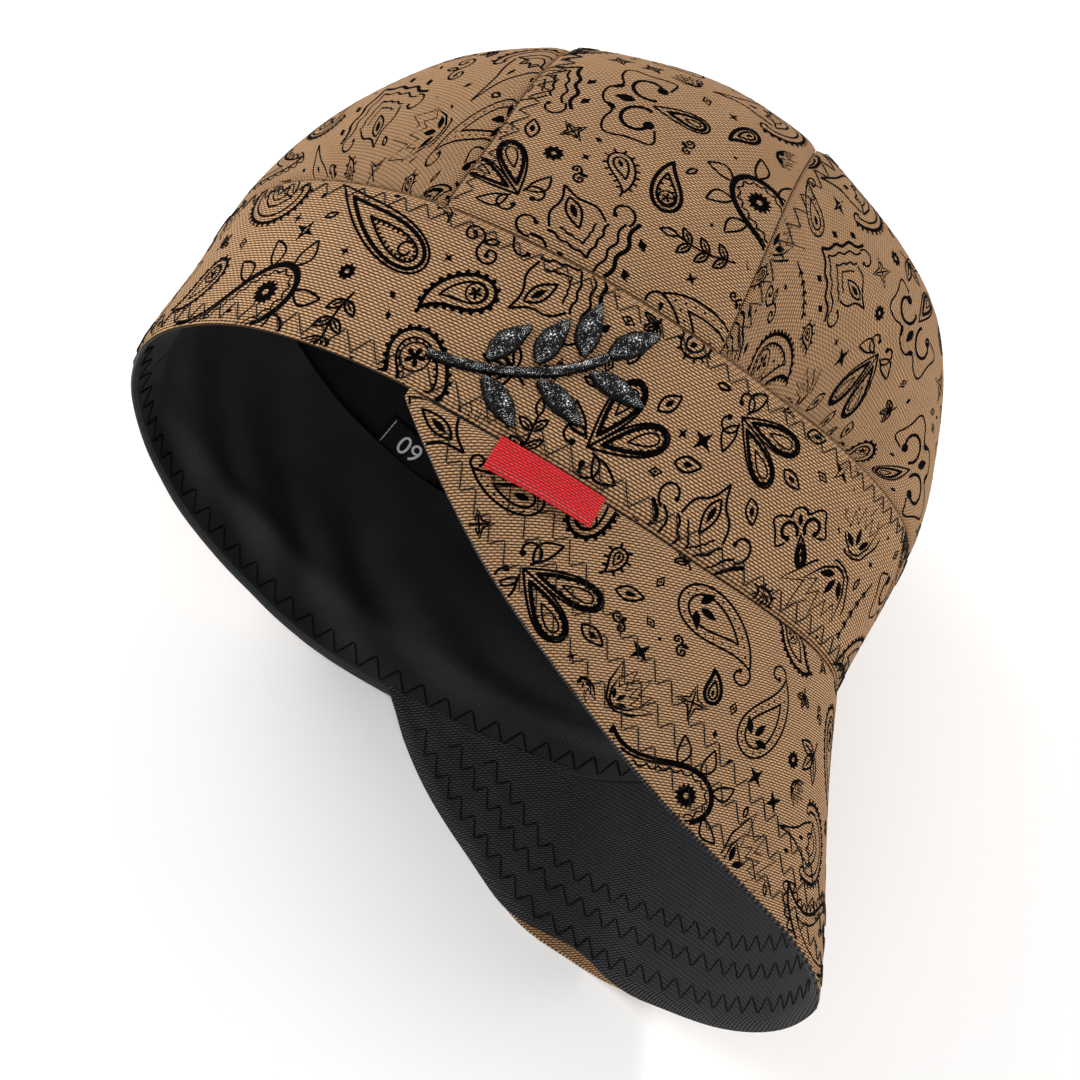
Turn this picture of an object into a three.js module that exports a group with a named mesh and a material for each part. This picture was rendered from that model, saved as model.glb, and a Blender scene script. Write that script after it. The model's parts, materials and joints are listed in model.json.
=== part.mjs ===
// Welding cap: a soft sewn cap with a long drooping peak, lying on its left side.
// Millimetres. The wearer's forward is +X, up is +Y and right is +Z, so the left side meets the floor.

import * as THREE from 'three';
import { mergeVertices } from 'three/addons/utils/BufferGeometryUtils.js';

// Reach of the crown's outer face from its middle point, at the rim
const frontReach = 117;
const backReach = 99;
const rightReach = 80;
const leftReach = 101.5;
const crownHeight = 155;
const apexForward = 16;       // the crown is highest this far in front of its middle point
const restFlat = 8;           // how far the soft left side is pressed flat by its own weight
const restBlend = 5;          // the flat blends into the round side over this depth either way

// How square each side of the crown stands: 2 is round, more is boxier
const frontSquare = 3.0;
const backSquare = 2.4;
const rightSquare = 2.9;
const leftSquare = 3.0;
const domeSquare = 2.7;

// The plan is egg-shaped: each side is drawn in towards the front by this share, or out if below 0
const rightTaper = 0.18;
const leftTaper = -0.08;
const backPinch = 4;          // the back of the rim is drawn in this far
const pinchHeight = 54;       // and the drawing-in fades out at this height

// The rim isn't level: it lifts over the brow and sags at the sides
const browLift = 14;
const browTurn = -10;         // degrees from the front to the highest place
const browSharp = 4;
const napeLift = 1.2;
const sideSag = 7;

// Seams of the crown
const ringSeamHeight = 53;    // from the rim up to the seam that goes round the head
const ringSeamTilt = 3;       // that seam is this much higher in front and lower behind
const backSeamForward = -32;  // the back cross seam, measured from the middle point
const frontSeamBase = 50;     // the front cross seam where it leaves the ring seam
const frontSeamTop = 38;      // and where it passes over the top

// Cloth
const shellWall = 1.3;
const liningWall = 1.0;
const bandWall = 1.0;
const layerGap = 0.9;         // between cloth layers
const seamGap = 0.4;          // between two pieces sewn edge to edge
const sweatbandHeight = 62;

// Peak
const peakLength = 90.5;
const peakTip = 3;            // width of the peak at its two ends
const peakStartRight = 103;   // degrees round from the front to each end
const peakStartLeft = 98;
const peakFlat = 1.555;       // shape of the free edge: how long it stays wide
const peakRound = 0.936;      // and how roundly it closes at the ends
const dropFront = 68.5;       // degrees that the peak hangs below level
const dropRight = 105.7;
const dropLeft = 84.2;
const dropEase = 1.3;
const hemTurn = 1.5;          // the tan cloth turns this far over the edge of the under layer

// Trim
const tagForward = 28.5;      // middle of the seam tag, measured from the middle point
const tagWidth = 31;
const tagDrop = 10;
const tagWall = 1.2;
const tagGap = 0.5;
const labelTurn = -116;       // degrees round to the middle of the size label
const labelWidth = 24;
const labelRise = 10;
const labelWall = 0.5;
const motifForward = 13;      // middle of the embroidered motif
const motifHeight = 25;
const stemBack = 27;          // its stem starts this far behind that middle
const stemFoot = 14.5;        // and this far below it
const stemSag = 11.5;         // and stays this far below it half way
const stemFront = 13;         // then it ends this far in front
const stemHead = 8.5;         // and this far above
const stemWidth = 3;
const leafPairs = 3;
const leafFirst = 0.26;       // the first pair's place along the stem
const leafStep = 0.285;       // and the way to the next pair, both as shares of the stem
const leafLength = 15.5;
const leafWidth = 7;
const leafPoint = 1.2;        // width left at the two ends of a leaf
const leafBend = 1.5;
const leafTurn = 52;          // degrees from the stem to a leaf
const leafFull = 0.9;         // below 1 a leaf is widest nearer to its foot
const stitchRaise = 1.5;      // the satin stitch stands this high along its middle
const stitchEdge = 0.6;
const stitchGap = 0.45;

// Cloths
const duck = { color: '#b98f63', roughness: 0.92 };
const cotton = { color: '#1b1c1e', roughness: 0.9 };
const ribbon = { color: '#c9272d', roughness: 0.75 };
const wovenLabel = { color: '#16171a', roughness: 0.7 };
const thread = { color: '#0c0c0e', roughness: 0.45 };

// Faces round the head, over it, across the lining, round the peak and along one satin stitch
const aroundColumns = 60;
const overColumns = 22;
const liningColumns = 26;
const peakColumns = 28;
const leafColumns = 8;
const stemColumns = 14;

const degree = Math.PI / 180;
const mix = THREE.MathUtils.lerp;
const floorLevel = restFlat - leftReach;

// Share of the width left at a height share, for one squareness
function profile(share, square) {
  return Math.max(1 - Math.abs(share) ** square, 0) ** (1 / square);
}

// Cloth that would pass below the floor lies flat on it
function pressFlat(level) {
  const above = level - floorLevel;
  if (above >= restBlend) return level;
  if (above <= -restBlend) return floorLevel;
  return floorLevel + (above + restBlend) ** 2 / (4 * restBlend);
}

// Point on the crown's outer face: turn goes round from the front to the right, share from rim to apex
function crownPoint(turn, share) {
  const forward = Math.cos(turn);
  const side = Math.sin(turn);
  const toRight = side > 0;
  const low = Math.max(1 - share * crownHeight / pinchHeight, 0) ** 2;
  const front = apexForward + (frontReach - apexForward) * profile(share, frontSquare);
  const back = apexForward - (backReach + apexForward) * profile(share, backSquare) + backPinch * low;
  const reach = toRight
    ? rightReach * profile(share, rightSquare) * (1 - rightTaper * forward)
    : leftReach * profile(share, leftSquare) * (1 - leftTaper * forward);
  const brow = browLift * (0.5 + 0.5 * Math.cos(turn - browTurn * degree)) ** browSharp;
  const nape = napeLift * Math.max(-forward, 0) ** 2;
  const lift = (brow + nape - sideSag * side ** 2) * (1 - share) ** 2;
  return new THREE.Vector3(
    (front + back) / 2 + (front - back) / 2 * forward,
    crownHeight * share + lift,
    pressFlat(reach * side),
  );
}

// Outward direction of a surface given by point(a, b), from small steps either way
function outward(point, a, b, top, middle) {
  const step = 0.002;
  const upper = Math.min(b + step, top);
  const across = point(a + step, b).sub(point(a - step, b));
  const along = point(a, upper).sub(point(a, b - step));
  const normal = across.cross(along).normalize();
  return normal.dot(point(a, b).sub(middle)) < 0 ? normal.negate() : normal;
}

const crownMiddle = new THREE.Vector3(apexForward / 2, crownHeight / 3, 0);

// Point at a depth inside the crown's outer face; a depth below 0 stands proud of it.
// At the apex itself the face has no direction round, so the normal is taken just short of it.
function crownLayer(turn, share, depth) {
  const justShort = 0.9995;
  const normal = outward(crownPoint, turn, Math.min(share, justShort), 1, crownMiddle);
  return crownPoint(turn, share).addScaledVector(normal, -depth);
}

function ringShare(turn) {
  return (ringSeamHeight + ringSeamTilt * Math.cos(turn)) / crownHeight;
}

// Length along the crown's side from the apex, as a share of the whole way down to the rim
const slopeSteps = 90;
const slope = [];
for (let i = 0; i <= slopeSteps; i += 1) {
  const angle = i / slopeSteps * Math.PI / 2;
  const share = Math.cos(angle) ** (2 / domeSquare);
  const spot = new THREE.Vector2(profile(share, domeSquare) * rightReach, share * crownHeight);
  const before = slope[i - 1];
  slope.push({ spot, share, length: before ? before.length + before.spot.distanceTo(spot) : 0 });
}
const slopeLength = slope[slopeSteps].length;

// Value of one column of the slope table where another has the given value
function lookUp(from, to, value) {
  const rising = slope[slopeSteps][from] > slope[0][from];
  let i = 1;
  while (i < slopeSteps && (rising ? slope[i][from] < value : slope[i][from] > value)) i += 1;
  const part = (value - slope[i - 1][from]) / (slope[i][from] - slope[i - 1][from]);
  return mix(slope[i - 1][to], slope[i][to], part);
}
const shareAlong = (part) => lookUp('length', 'share', part * slopeLength);
const partAt = (share) => lookUp('share', 'length', share) / slopeLength;

// The top of the crown is laid out on a disc of radius 1, whose edge is the ring seam
function discLayer(forward, side, depth) {
  const radius = Math.hypot(forward, side);
  const turn = radius > 0 ? Math.atan2(side, forward) : 0;
  return crownLayer(turn, shareAlong(radius * partAt(ringShare(turn))), depth);
}

// Place on the disc's middle line that lies at a forward distance, found by halving
function discForward(forward) {
  let [low, high] = [-1, 1];
  for (let i = 0; i < 40; i += 1) {
    const place = (low + high) / 2;
    if (discLayer(place, 0, 0).x < forward) low = place;
    else high = place;
  }
  return low;
}

// A cross seam on the disc: level runs from -1 on the left to 1 on the right
const ringFront = crownPoint(0, ringShare(0)).x;
const ringBack = crownPoint(Math.PI, ringShare(Math.PI)).x;
const ringHalf = (ringFront - ringBack) / 2;
const ringMiddle = (ringFront + ringBack) / 2;
function seamLine(base, top) {
  const atBase = (base - ringMiddle) / ringHalf;
  const atTop = discForward(top);
  return (level) => mix(atTop, atBase, level ** 2);
}
const backSeam = seamLine(backSeamForward, backSeamForward);
const frontSeam = seamLine(frontSeamBase, frontSeamTop);
const halfGap = seamGap / 2 / ringHalf;

// Closed solid from a box of cloth: place(across, along, depth) takes shares from 0 to 1
function cloth(name, look, columns, rows, place) {
  const box = new THREE.BoxGeometry(1, 1, 1, columns, rows, 1);
  box.deleteAttribute('normal');
  box.deleteAttribute('uv');
  const geometry = mergeVertices(box, 1e-5);
  const points = geometry.getAttribute('position');
  for (let i = 0; i < points.count; i += 1) {
    const spot = place(points.getX(i) + 0.5, points.getY(i) + 0.5, points.getZ(i) + 0.5);
    points.setXYZ(i, spot.x, spot.y, spot.z);
  }
  if (volume(geometry) < 0) turnOver(geometry);
  const mesh = new THREE.Mesh(geometry, new THREE.MeshStandardMaterial(look));
  mesh.name = name;
  return mesh;
}

function volume(geometry) {
  const points = geometry.getAttribute('position');
  const corners = geometry.getIndex();
  const [a, b, c] = [new THREE.Vector3(), new THREE.Vector3(), new THREE.Vector3()];
  let sum = 0;
  for (let i = 0; i < corners.count; i += 3) {
    a.fromBufferAttribute(points, corners.getX(i));
    b.fromBufferAttribute(points, corners.getX(i + 1));
    c.fromBufferAttribute(points, corners.getX(i + 2));
    sum += a.dot(b.cross(c)) / 6;
  }
  return sum;
}

function turnOver(geometry) {
  const corners = geometry.getIndex();
  for (let i = 0; i < corners.count; i += 3) {
    const first = corners.getX(i);
    corners.setX(i, corners.getX(i + 1));
    corners.setX(i + 1, first);
  }
}

// Turn for a share round the head, with the joining seam left open at the nape
function turnAt(share) {
  const open = seamGap / 2 / backReach;
  return mix(-Math.PI + open, Math.PI - open, share);
}

function crownBand() {
  return cloth('crown_band', duck, aroundColumns, 5, (across, along, depth) => {
    const turn = turnAt(across);
    const top = ringShare(turn) - seamGap / 2 / crownHeight;
    return crownLayer(turn, top * along, shellWall * depth);
  });
}

function crownMiddlePanel() {
  return cloth('crown_middle', duck, 7, overColumns, (across, along, depth) => {
    const level = mix(-1, 1, along);
    const from = backSeam(level) + halfGap;
    const to = frontSeam(level) - halfGap;
    const end = mix(backSeam(1) + halfGap, frontSeam(1) - halfGap, across);
    const side = level * (Math.sqrt(1 - end ** 2) - halfGap);
    return discLayer(mix(from, to, across), side, shellWall * depth);
  });
}

// A panel between a cross seam and the ring seam. Its grid is spread between the seam, two
// stretches of the ring that start at the seam's ends, and the far stretch between them.
function endPanel(name, seam, away) {
  const farStretch = 0.52;
  const start = Math.acos(seam(1) * away);
  const radius = 1 - halfGap;
  const edgeTurn = start * farStretch;
  const ringPlace = (turn) => new THREE.Vector2(Math.cos(turn) * away, Math.sin(turn)).multiplyScalar(radius);
  const seamPlace = (level) => {
    return new THREE.Vector2(seam(level) + halfGap * away, level * Math.sin(start) * radius);
  };
  return cloth(name, duck, overColumns, 10, (across, along, depth) => {
    const level = mix(-1, 1, across);
    const nearSide = seamPlace(level);
    const farSide = ringPlace(edgeTurn * level);
    const left = ringPlace(-mix(start, edgeTurn, along));
    const right = ringPlace(mix(start, edgeTurn, along));
    const spot = nearSide.clone().lerp(farSide, along).add(left.clone().lerp(right, across));
    const cornersNear = ringPlace(-start).lerp(ringPlace(start), across);
    const cornersFar = ringPlace(-edgeTurn).lerp(ringPlace(edgeTurn), across);
    spot.sub(cornersNear.lerp(cornersFar, along));
    return discLayer(spot.x, spot.y, shellWall * depth);
  });
}

// The lining is one dome: a square sheet spread evenly over the whole crown
function lining() {
  const outer = shellWall + layerGap;
  return cloth('lining', cotton, liningColumns, liningColumns, (across, along, depth) => {
    const x = mix(-1, 1, across);
    const y = mix(-1, 1, along);
    const radius = Math.max(Math.abs(x), Math.abs(y));
    const turn = squareTurn(x, y, radius);
    return crownLayer(turn, shareAlong(radius), outer + liningWall * depth);
  });
}

// Direction on a disc for a place on a square, going evenly round the square's edge
function squareTurn(x, y, radius) {
  if (radius === 0) return 0;
  const quarter = Math.PI / 4;
  if (Math.abs(x) >= Math.abs(y)) return quarter * y / x + (x < 0 ? Math.PI : 0);
  return Math.sign(y) * 2 * quarter - quarter * x / y;
}

function sweatband() {
  const outer = shellWall + liningWall + 2 * layerGap;
  return cloth('sweatband', cotton, aroundColumns, 5, (across, along, depth) => {
    return crownLayer(turnAt(across), sweatbandHeight / crownHeight * along, outer + bandWall * depth);
  });
}

// Point on the peak's outer face: side is -1 at the left end, 0 in front and 1 at the right end
function peakPoint(side, distance) {
  const toRight = side > 0;
  const share = Math.abs(side);
  const turn = side * (toRight ? peakStartRight : peakStartLeft) * degree;
  const drop = mix(dropFront, toRight ? dropRight : dropLeft, share ** dropEase) * degree;
  const step = 0.01;
  const along = crownPoint(turn + step, 0).sub(crownPoint(turn - step, 0));
  const out = new THREE.Vector3(along.z, 0, -along.x).normalize();
  const heading = out.multiplyScalar(Math.cos(drop)).add(new THREE.Vector3(0, -Math.sin(drop), 0));
  const spot = crownPoint(turn, 0).addScaledVector(heading, distance);
  return spot.setZ(pressFlat(spot.z));
}

function peakWidth(side) {
  const share = Math.min(Math.abs(side), 1);
  return peakTip + (peakLength - peakTip) * (1 - share ** peakFlat) ** peakRound;
}

const peakMiddle = new THREE.Vector3(0, -peakLength / 2, 0);

// Point at a depth inside the peak's outer face. Its top row leans as the crown's edge does,
// and the lean is gone a short way out. Normals are taken just short of the ends and the rim.
function peakLayer(side, distance, depth) {
  const end = 0.995;
  const aboveRim = 0.004;
  const leanFade = 12;
  const turn = side * (side > 0 ? peakStartRight : peakStartLeft) * degree;
  const rimNormal = outward(crownPoint, turn, aboveRim, 1, crownMiddle);
  const inner = Math.min(Math.max(side, -end), end);
  const peakNormal = outward(peakPoint, inner, Math.max(distance, 1), Infinity, peakMiddle);
  const blend = THREE.MathUtils.smoothstep(distance, 0, leanFade);
  const normal = rimNormal.lerp(peakNormal, blend).normalize();
  return peakPoint(side, distance).addScaledVector(normal, -depth);
}

function peakSheet(name, look, outer, wall, short) {
  return cloth(name, look, peakColumns, 8, (across, along, depth) => {
    const side = mix(-1, 1, across);
    return peakLayer(side, mix(seamGap, peakWidth(side) - short, along), outer + wall * depth);
  });
}

// Turn at a forward place on the crown's right side, found by halving
function rightTurnAt(forward, share) {
  let [low, high] = [0, Math.PI];
  for (let i = 0; i < 40; i += 1) {
    const middle = (low + high) / 2;
    if (crownPoint(middle, share).x > forward) low = middle;
    else high = middle;
  }
  return low;
}

function seamTag() {
  const middle = rightTurnAt(tagForward, 0);
  const step = 0.1;
  const perTurn = crownPoint(middle, 0).distanceTo(crownPoint(middle - step, 0)) / step;
  const half = tagWidth / 2 / perTurn;
  return cloth('seam_tag', ribbon, 6, 2, (across, along, depth) => {
    const side = mix(middle - half, middle + half, across) / (peakStartRight * degree);
    return peakLayer(side, mix(seamGap, tagDrop, along), mix(-tagGap - tagWall, -tagGap, depth));
  });
}

function sizeLabel() {
  const outer = shellWall + liningWall + 2 * layerGap;
  const half = labelWidth / 2 / leftReach;
  const foot = (sweatbandHeight + seamGap) / crownHeight;
  const head = foot + labelRise / crownHeight;
  return cloth('size_label', wovenLabel, 4, 2, (across, along, depth) => {
    const turn = labelTurn * degree + mix(-half, half, across);
    return crownLayer(turn, mix(foot, head, along), outer + labelWall * depth);
  });
}

// The motif is a plain leafy sprig. Its stem rises along a shallow curve from the back to the front.
const stem = new THREE.QuadraticBezierCurve(
  new THREE.Vector2(-stemBack, -stemFoot),
  new THREE.Vector2(0, -stemSag),
  new THREE.Vector2(stemFront, stemHead),
);

// Place on the crown's right side for a place on the motif's own plane
function onRightSide(spot, depth) {
  const share = (motifHeight + spot.y) / crownHeight;
  return crownLayer(rightTurnAt(motifForward + spot.x, share), share, depth);
}

// A band of satin stitch along a line: width(share) is its full width, and its middle stands highest
function satin(name, columns, line, width) {
  return cloth(name, thread, columns, 2, (across, along, depth) => {
    const heading = line.getTangentAt(across);
    const offset = mix(-0.5, 0.5, along) * width(across);
    const spot = line.getPointAt(across).add(new THREE.Vector2(-heading.y, heading.x).multiplyScalar(offset));
    const raise = mix(stitchEdge, stitchRaise, 1 - (2 * along - 1) ** 2);
    return onRightSide(spot, -stitchGap - raise * depth);
  });
}

function leaf(name, foot, heading) {
  const side = new THREE.Vector2(-heading.y, heading.x);
  const bend = foot.clone().addScaledVector(heading, leafLength / 2).addScaledVector(side, leafBend);
  const line = new THREE.QuadraticBezierCurve(foot, bend, foot.clone().addScaledVector(heading, leafLength));
  const width = (share) => mix(leafPoint, leafWidth, Math.sin(Math.PI * share ** leafFull));
  return satin(name, leafColumns, line, width);
}

function motif() {
  const pieces = [satin('motif_stem', stemColumns, stem, () => stemWidth)];
  const clear = stemWidth / 2 + leafPoint / 2 + seamGap;
  for (let pair = 0; pair < leafPairs; pair += 1) {
    const share = leafFirst + pair * leafStep;
    for (const side of [-1, 1]) {
      const heading = stem.getTangentAt(share).rotateAround(new THREE.Vector2(), side * leafTurn * degree);
      const foot = stem.getPointAt(share).addScaledVector(heading, clear / Math.sin(leafTurn * degree));
      pieces.push(leaf(`motif_leaf_${pieces.length}`, foot, heading));
    }
  }
  const tipHeading = stem.getTangentAt(1);
  const tipFoot = stem.getPointAt(1).addScaledVector(tipHeading, seamGap);
  pieces.push(leaf(`motif_leaf_${pieces.length}`, tipFoot, tipHeading));
  return pieces;
}

const cap = new THREE.Group();
cap.add(
  crownBand(),
  endPanel('crown_back', backSeam, -1),
  crownMiddlePanel(),
  endPanel('crown_front', frontSeam, 1),
  lining(),
  sweatband(),
  peakSheet('peak_top', duck, 0, shellWall, 0),
  peakSheet('peak_under', cotton, shellWall + layerGap, liningWall, hemTurn),
  seamTag(),
  sizeLabel(),
  ...motif(),
);

// The cap stands on the floor, over the middle of its box
const box = new THREE.Box3().setFromObject(cap);
const middle = box.getCenter(new THREE.Vector3());
cap.position.set(-middle.x, -middle.y, -box.min.z);

export default cap;
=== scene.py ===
# Welding cap: a soft printed cap with a long drooping peak, lying on its left side.
# Shapes are worked out in millimetres and turned to metres where a mesh is made.

import json
import math

import bmesh
import bpy
import numpy as np
from mathutils import Matrix, Vector
from mathutils.bvhtree import BVHTree

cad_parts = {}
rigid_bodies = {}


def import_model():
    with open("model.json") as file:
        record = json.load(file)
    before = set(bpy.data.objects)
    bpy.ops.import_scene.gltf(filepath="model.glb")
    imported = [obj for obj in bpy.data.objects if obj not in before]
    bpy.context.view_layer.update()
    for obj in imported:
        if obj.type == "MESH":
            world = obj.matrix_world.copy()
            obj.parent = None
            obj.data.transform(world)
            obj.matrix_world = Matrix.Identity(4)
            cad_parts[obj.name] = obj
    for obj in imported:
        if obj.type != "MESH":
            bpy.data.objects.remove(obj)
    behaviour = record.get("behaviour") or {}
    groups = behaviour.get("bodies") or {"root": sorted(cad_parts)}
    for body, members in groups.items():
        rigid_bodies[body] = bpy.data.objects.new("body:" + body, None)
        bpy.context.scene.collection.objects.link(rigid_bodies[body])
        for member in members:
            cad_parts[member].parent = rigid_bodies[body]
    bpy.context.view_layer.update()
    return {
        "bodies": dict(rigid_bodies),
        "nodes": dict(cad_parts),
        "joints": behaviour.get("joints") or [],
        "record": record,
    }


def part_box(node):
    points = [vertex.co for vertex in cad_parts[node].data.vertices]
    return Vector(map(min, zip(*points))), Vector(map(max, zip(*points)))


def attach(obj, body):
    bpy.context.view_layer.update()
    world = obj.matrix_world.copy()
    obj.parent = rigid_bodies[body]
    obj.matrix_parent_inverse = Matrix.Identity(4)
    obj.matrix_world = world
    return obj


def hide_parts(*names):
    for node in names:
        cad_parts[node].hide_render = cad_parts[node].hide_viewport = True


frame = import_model()
scene = bpy.context.scene
mm = 0.001

# The crown's outer face, with the same sizes as the solid part
crown = {
    "frontReach": 117, "backReach": 99, "rightReach": 80, "leftReach": 101.5,
    "height": 155, "apexForward": 16, "restFlat": 8, "restBlend": 5,
    "frontSquare": 3.0, "backSquare": 2.4, "rightSquare": 2.9, "leftSquare": 3.0, "domeSquare": 2.7,
    "rightTaper": 0.18, "leftTaper": -0.08, "backPinch": 4, "pinchHeight": 54,
    "browLift": 14, "browTurn": -10, "browSharp": 4, "napeLift": 1.2, "sideSag": 7,
    "rimRaise": (-108, 20, 3.0),
}
seams = {
    "ringHeight": 53, "ringTilt": 3, "backForward": -32, "frontBase": 50, "frontTop": 38,
    "opening": 0.16, "creaseDepth": 1.1, "creaseWidth": 1.5,
}
layers = {"shell": 1.1, "lining": 0.8, "band": 0.9, "gap": 0.9, "bandHeight": 62}

floorLevel = crown["restFlat"] - crown["leftReach"]
origin = np.array([
    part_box("crown_band")[1][0] / mm - crown["frontReach"],
    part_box("crown_middle")[1][1] / mm - crown["height"],
    -floorLevel,
])


def unit(value):
    return np.clip(value, 0, 1)


def mix(a, b, share):
    return a + (b - a) * share


def running(steps):
    return np.concatenate([[0], np.cumsum(steps)])


def profile(share, square):
    return np.clip(1 - np.abs(share) ** square, 0, None) ** (1 / square)


# Cloth that would pass below the floor lies flat on it
def pressFlat(level):
    above = level - floorLevel
    blend = crown["restBlend"]
    eased = floorLevel + (above + blend) ** 2 / (4 * blend)
    return np.where(above >= blend, level, np.where(above <= -blend, floorLevel, eased))


# turn goes round from the front to the wearer's right, share goes from the rim to the top
def crownPoint(turn, share):
    forward, side = np.cos(turn), np.sin(turn)
    low = np.clip(1 - share * crown["height"] / crown["pinchHeight"], 0, None) ** 2
    apex = crown["apexForward"]
    front = apex + (crown["frontReach"] - apex) * profile(share, crown["frontSquare"])
    back = apex - (crown["backReach"] + apex) * profile(share, crown["backSquare"]) + crown["backPinch"] * low
    toRight = crown["rightReach"] * profile(share, crown["rightSquare"]) * (1 - crown["rightTaper"] * forward)
    toLeft = crown["leftReach"] * profile(share, crown["leftSquare"]) * (1 - crown["leftTaper"] * forward)
    reach = np.where(side > 0, toRight, toLeft)
    browTurn = math.radians(crown["browTurn"])
    brow = crown["browLift"] * (0.5 + 0.5 * np.cos(turn - browTurn)) ** crown["browSharp"]
    nape = crown["napeLift"] * np.clip(-forward, 0, None) ** 2
    # the rim is pressed up a little where it lies on the floor
    at, wide, rise = crown["rimRaise"]
    pressed = rise * np.exp(-(((np.degrees(turn) - at + 180) % 360 - 180) / wide) ** 2)
    lift = (brow + nape + pressed - crown["sideSag"] * side ** 2) * (1 - share) ** 2
    x = (front + back) / 2 + (front - back) / 2 * forward
    return np.stack([x, crown["height"] * share + lift, pressFlat(reach * side)], -1)


def outward(point, a, b, top, middle):
    step = 0.002
    across = point(a + step, b) - point(a - step, b)
    along = point(a, np.minimum(b + step, top)) - point(a, b - step)
    normal = np.cross(across, along)
    normal /= np.linalg.norm(normal, axis=-1, keepdims=True)
    turned = np.sum(normal * (point(a, b) - middle), -1, keepdims=True) < 0
    return np.where(turned, -normal, normal)


crownMiddle = np.array([crown["apexForward"] / 2, crown["height"] / 3, 0.0])

# Soft dents and long folds, the same through all layers. Each row is a direction, a pitch and a depth.
folds = {
    "firmness": 0.6,
    "waves": [((0.9, 0.3, 0.2), 74, 0.75), ((-0.3, 0.9, 0.5), 58, 0.65), ((0.5, -0.6, 0.6), 43, 0.4),
              ((0.2, 0.5, -0.9), 91, 0.8), ((0.8, 0.7, -0.3), 31, 0.22), ((-0.6, 0.4, 0.7), 23, 0.12)],
    "restFade": 16,
    # broad bulges and hollows: each row is a place, and how far the cloth stands out there
    "bulgeReach": 22,
    "bulges": [(150, -70, -5, -1.4), (138, -41, 4, -0.77), (128, -16, 5, -1.15), (121, 3, 4, -0.86),
               (117, 25, -3, -0.67), (117, 36, -3, -0.17), (116, 49, 0, 0.71), (115, 67, 2, 0.48),
               (112, 82, 3, -0.38), (109, 94, 5, -0.27), (103, 109, 8, 0.41), (95, 122, 13, 0.44),
               (84, 132, 17, 0.26), (58, 143, 31, 0.15), (43, 145, 36, 1.28), (24, 145, 43, 1.32),
               (-8, 141, 48, -0.6), (-37, 129, 46, 0.52), (-51, 120, 44, 0.46), (-63, 108, 40, 0.38),
               (-73, 94, 37, 0.39), (-82, 78, 33, 1.04), (-88, 61, 30, 1.08), (-92, 45, 26, -0.66),
               (-94, 31, 23, -1.42), (-91, 0, 25, 1.5), (-52, -4, -76, -1.6)],
}


def foldDepth(spot):
    depth = np.zeros(spot.shape[:-1])
    for i, (heading, pitch, deep) in enumerate(folds["waves"]):
        ahead = np.array(heading) / np.linalg.norm(heading)
        depth += deep * folds["firmness"] * np.sin(spot @ ahead * 2 * math.pi / pitch + 1.7 * i)
    for *place, rise in folds["bulges"]:
        depth -= rise * np.exp(-np.sum((spot - place) ** 2, -1) / (2 * folds["bulgeReach"] ** 2))
    return depth * unit((spot[..., 2] - floorLevel) / folds["restFade"])


def crownLayer(turn, share, depth):
    spot = crownPoint(turn, share)
    normal = outward(crownPoint, turn, np.minimum(share, 0.9985), 1, crownMiddle)
    return spot - normal * (np.asarray(depth) + foldDepth(spot))[..., None]


def crownAt(turn, height, depth):
    return crownLayer(turn, height / crown["height"], depth)


def ringShare(turn):
    return (seams["ringHeight"] + seams["ringTilt"] * np.cos(turn)) / crown["height"]


slopeAngle = np.linspace(0, math.pi / 2, 91)
slopeShare = np.cos(slopeAngle) ** (2 / crown["domeSquare"])
slopeOut = profile(slopeShare, crown["domeSquare"]) * crown["rightReach"]
slopeSpot = np.stack([slopeOut, slopeShare * crown["height"]], -1)
slopeWay = running(np.linalg.norm(np.diff(slopeSpot, axis=0), axis=1))


def wayAt(share):
    return np.interp(share, slopeShare[::-1], slopeWay[::-1])


# The top of the crown on a disc of radius 1, whose edge is the ring seam
def discLayer(forward, side, depth):
    radius = np.hypot(forward, side)
    turn = np.arctan2(side, forward)
    share = np.interp(radius * wayAt(ringShare(turn)), slopeWay, slopeShare)
    return crownLayer(turn, share, depth)


discWay = float(wayAt(ringShare(0.0)))
ringEnds = [float(crownPoint(turn, ringShare(turn))[0]) for turn in (0.0, math.pi)]
ringHalf = (ringEnds[0] - ringEnds[1]) / 2


def discForward(forward):
    low, high = -1.0, 1.0
    for _ in range(40):
        place = (low + high) / 2
        share = np.interp(abs(place) * wayAt(ringShare(0.0 if place > 0 else math.pi)), slopeWay, slopeShare)
        if crownPoint(0.0 if place > 0 else math.pi, share)[0] < forward:
            low = place
        else:
            high = place
    return low


def seamLine(base, top):
    atBase = (base - sum(ringEnds) / 2) / ringHalf
    atTop = discForward(top)
    return lambda level: atTop + (atBase - atTop) * level ** 2


backSeam = seamLine(seams["backForward"], seams["backForward"])
frontSeam = seamLine(seams["frontBase"], seams["frontTop"])
halfOpening = seams["opening"] / 2 / ringHalf


# Rows of a grid stand closer together near its edges, where the cloth turns in
def closer(share, gather=0.75):
    return share - gather * np.sin(2 * math.pi * share) / (2 * math.pi)


def crease(distance, deep=None):
    deep = seams["creaseDepth"] if deep is None else deep
    return deep * np.exp(-(np.abs(distance) / seams["creaseWidth"]) ** 1.3)


def toMesh(name, bm):
    mesh = bpy.data.meshes.new(name)
    bm.to_mesh(mesh)
    bm.free()
    piece = bpy.data.objects.new(name, mesh)
    scene.collection.objects.link(piece)
    return piece


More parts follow.
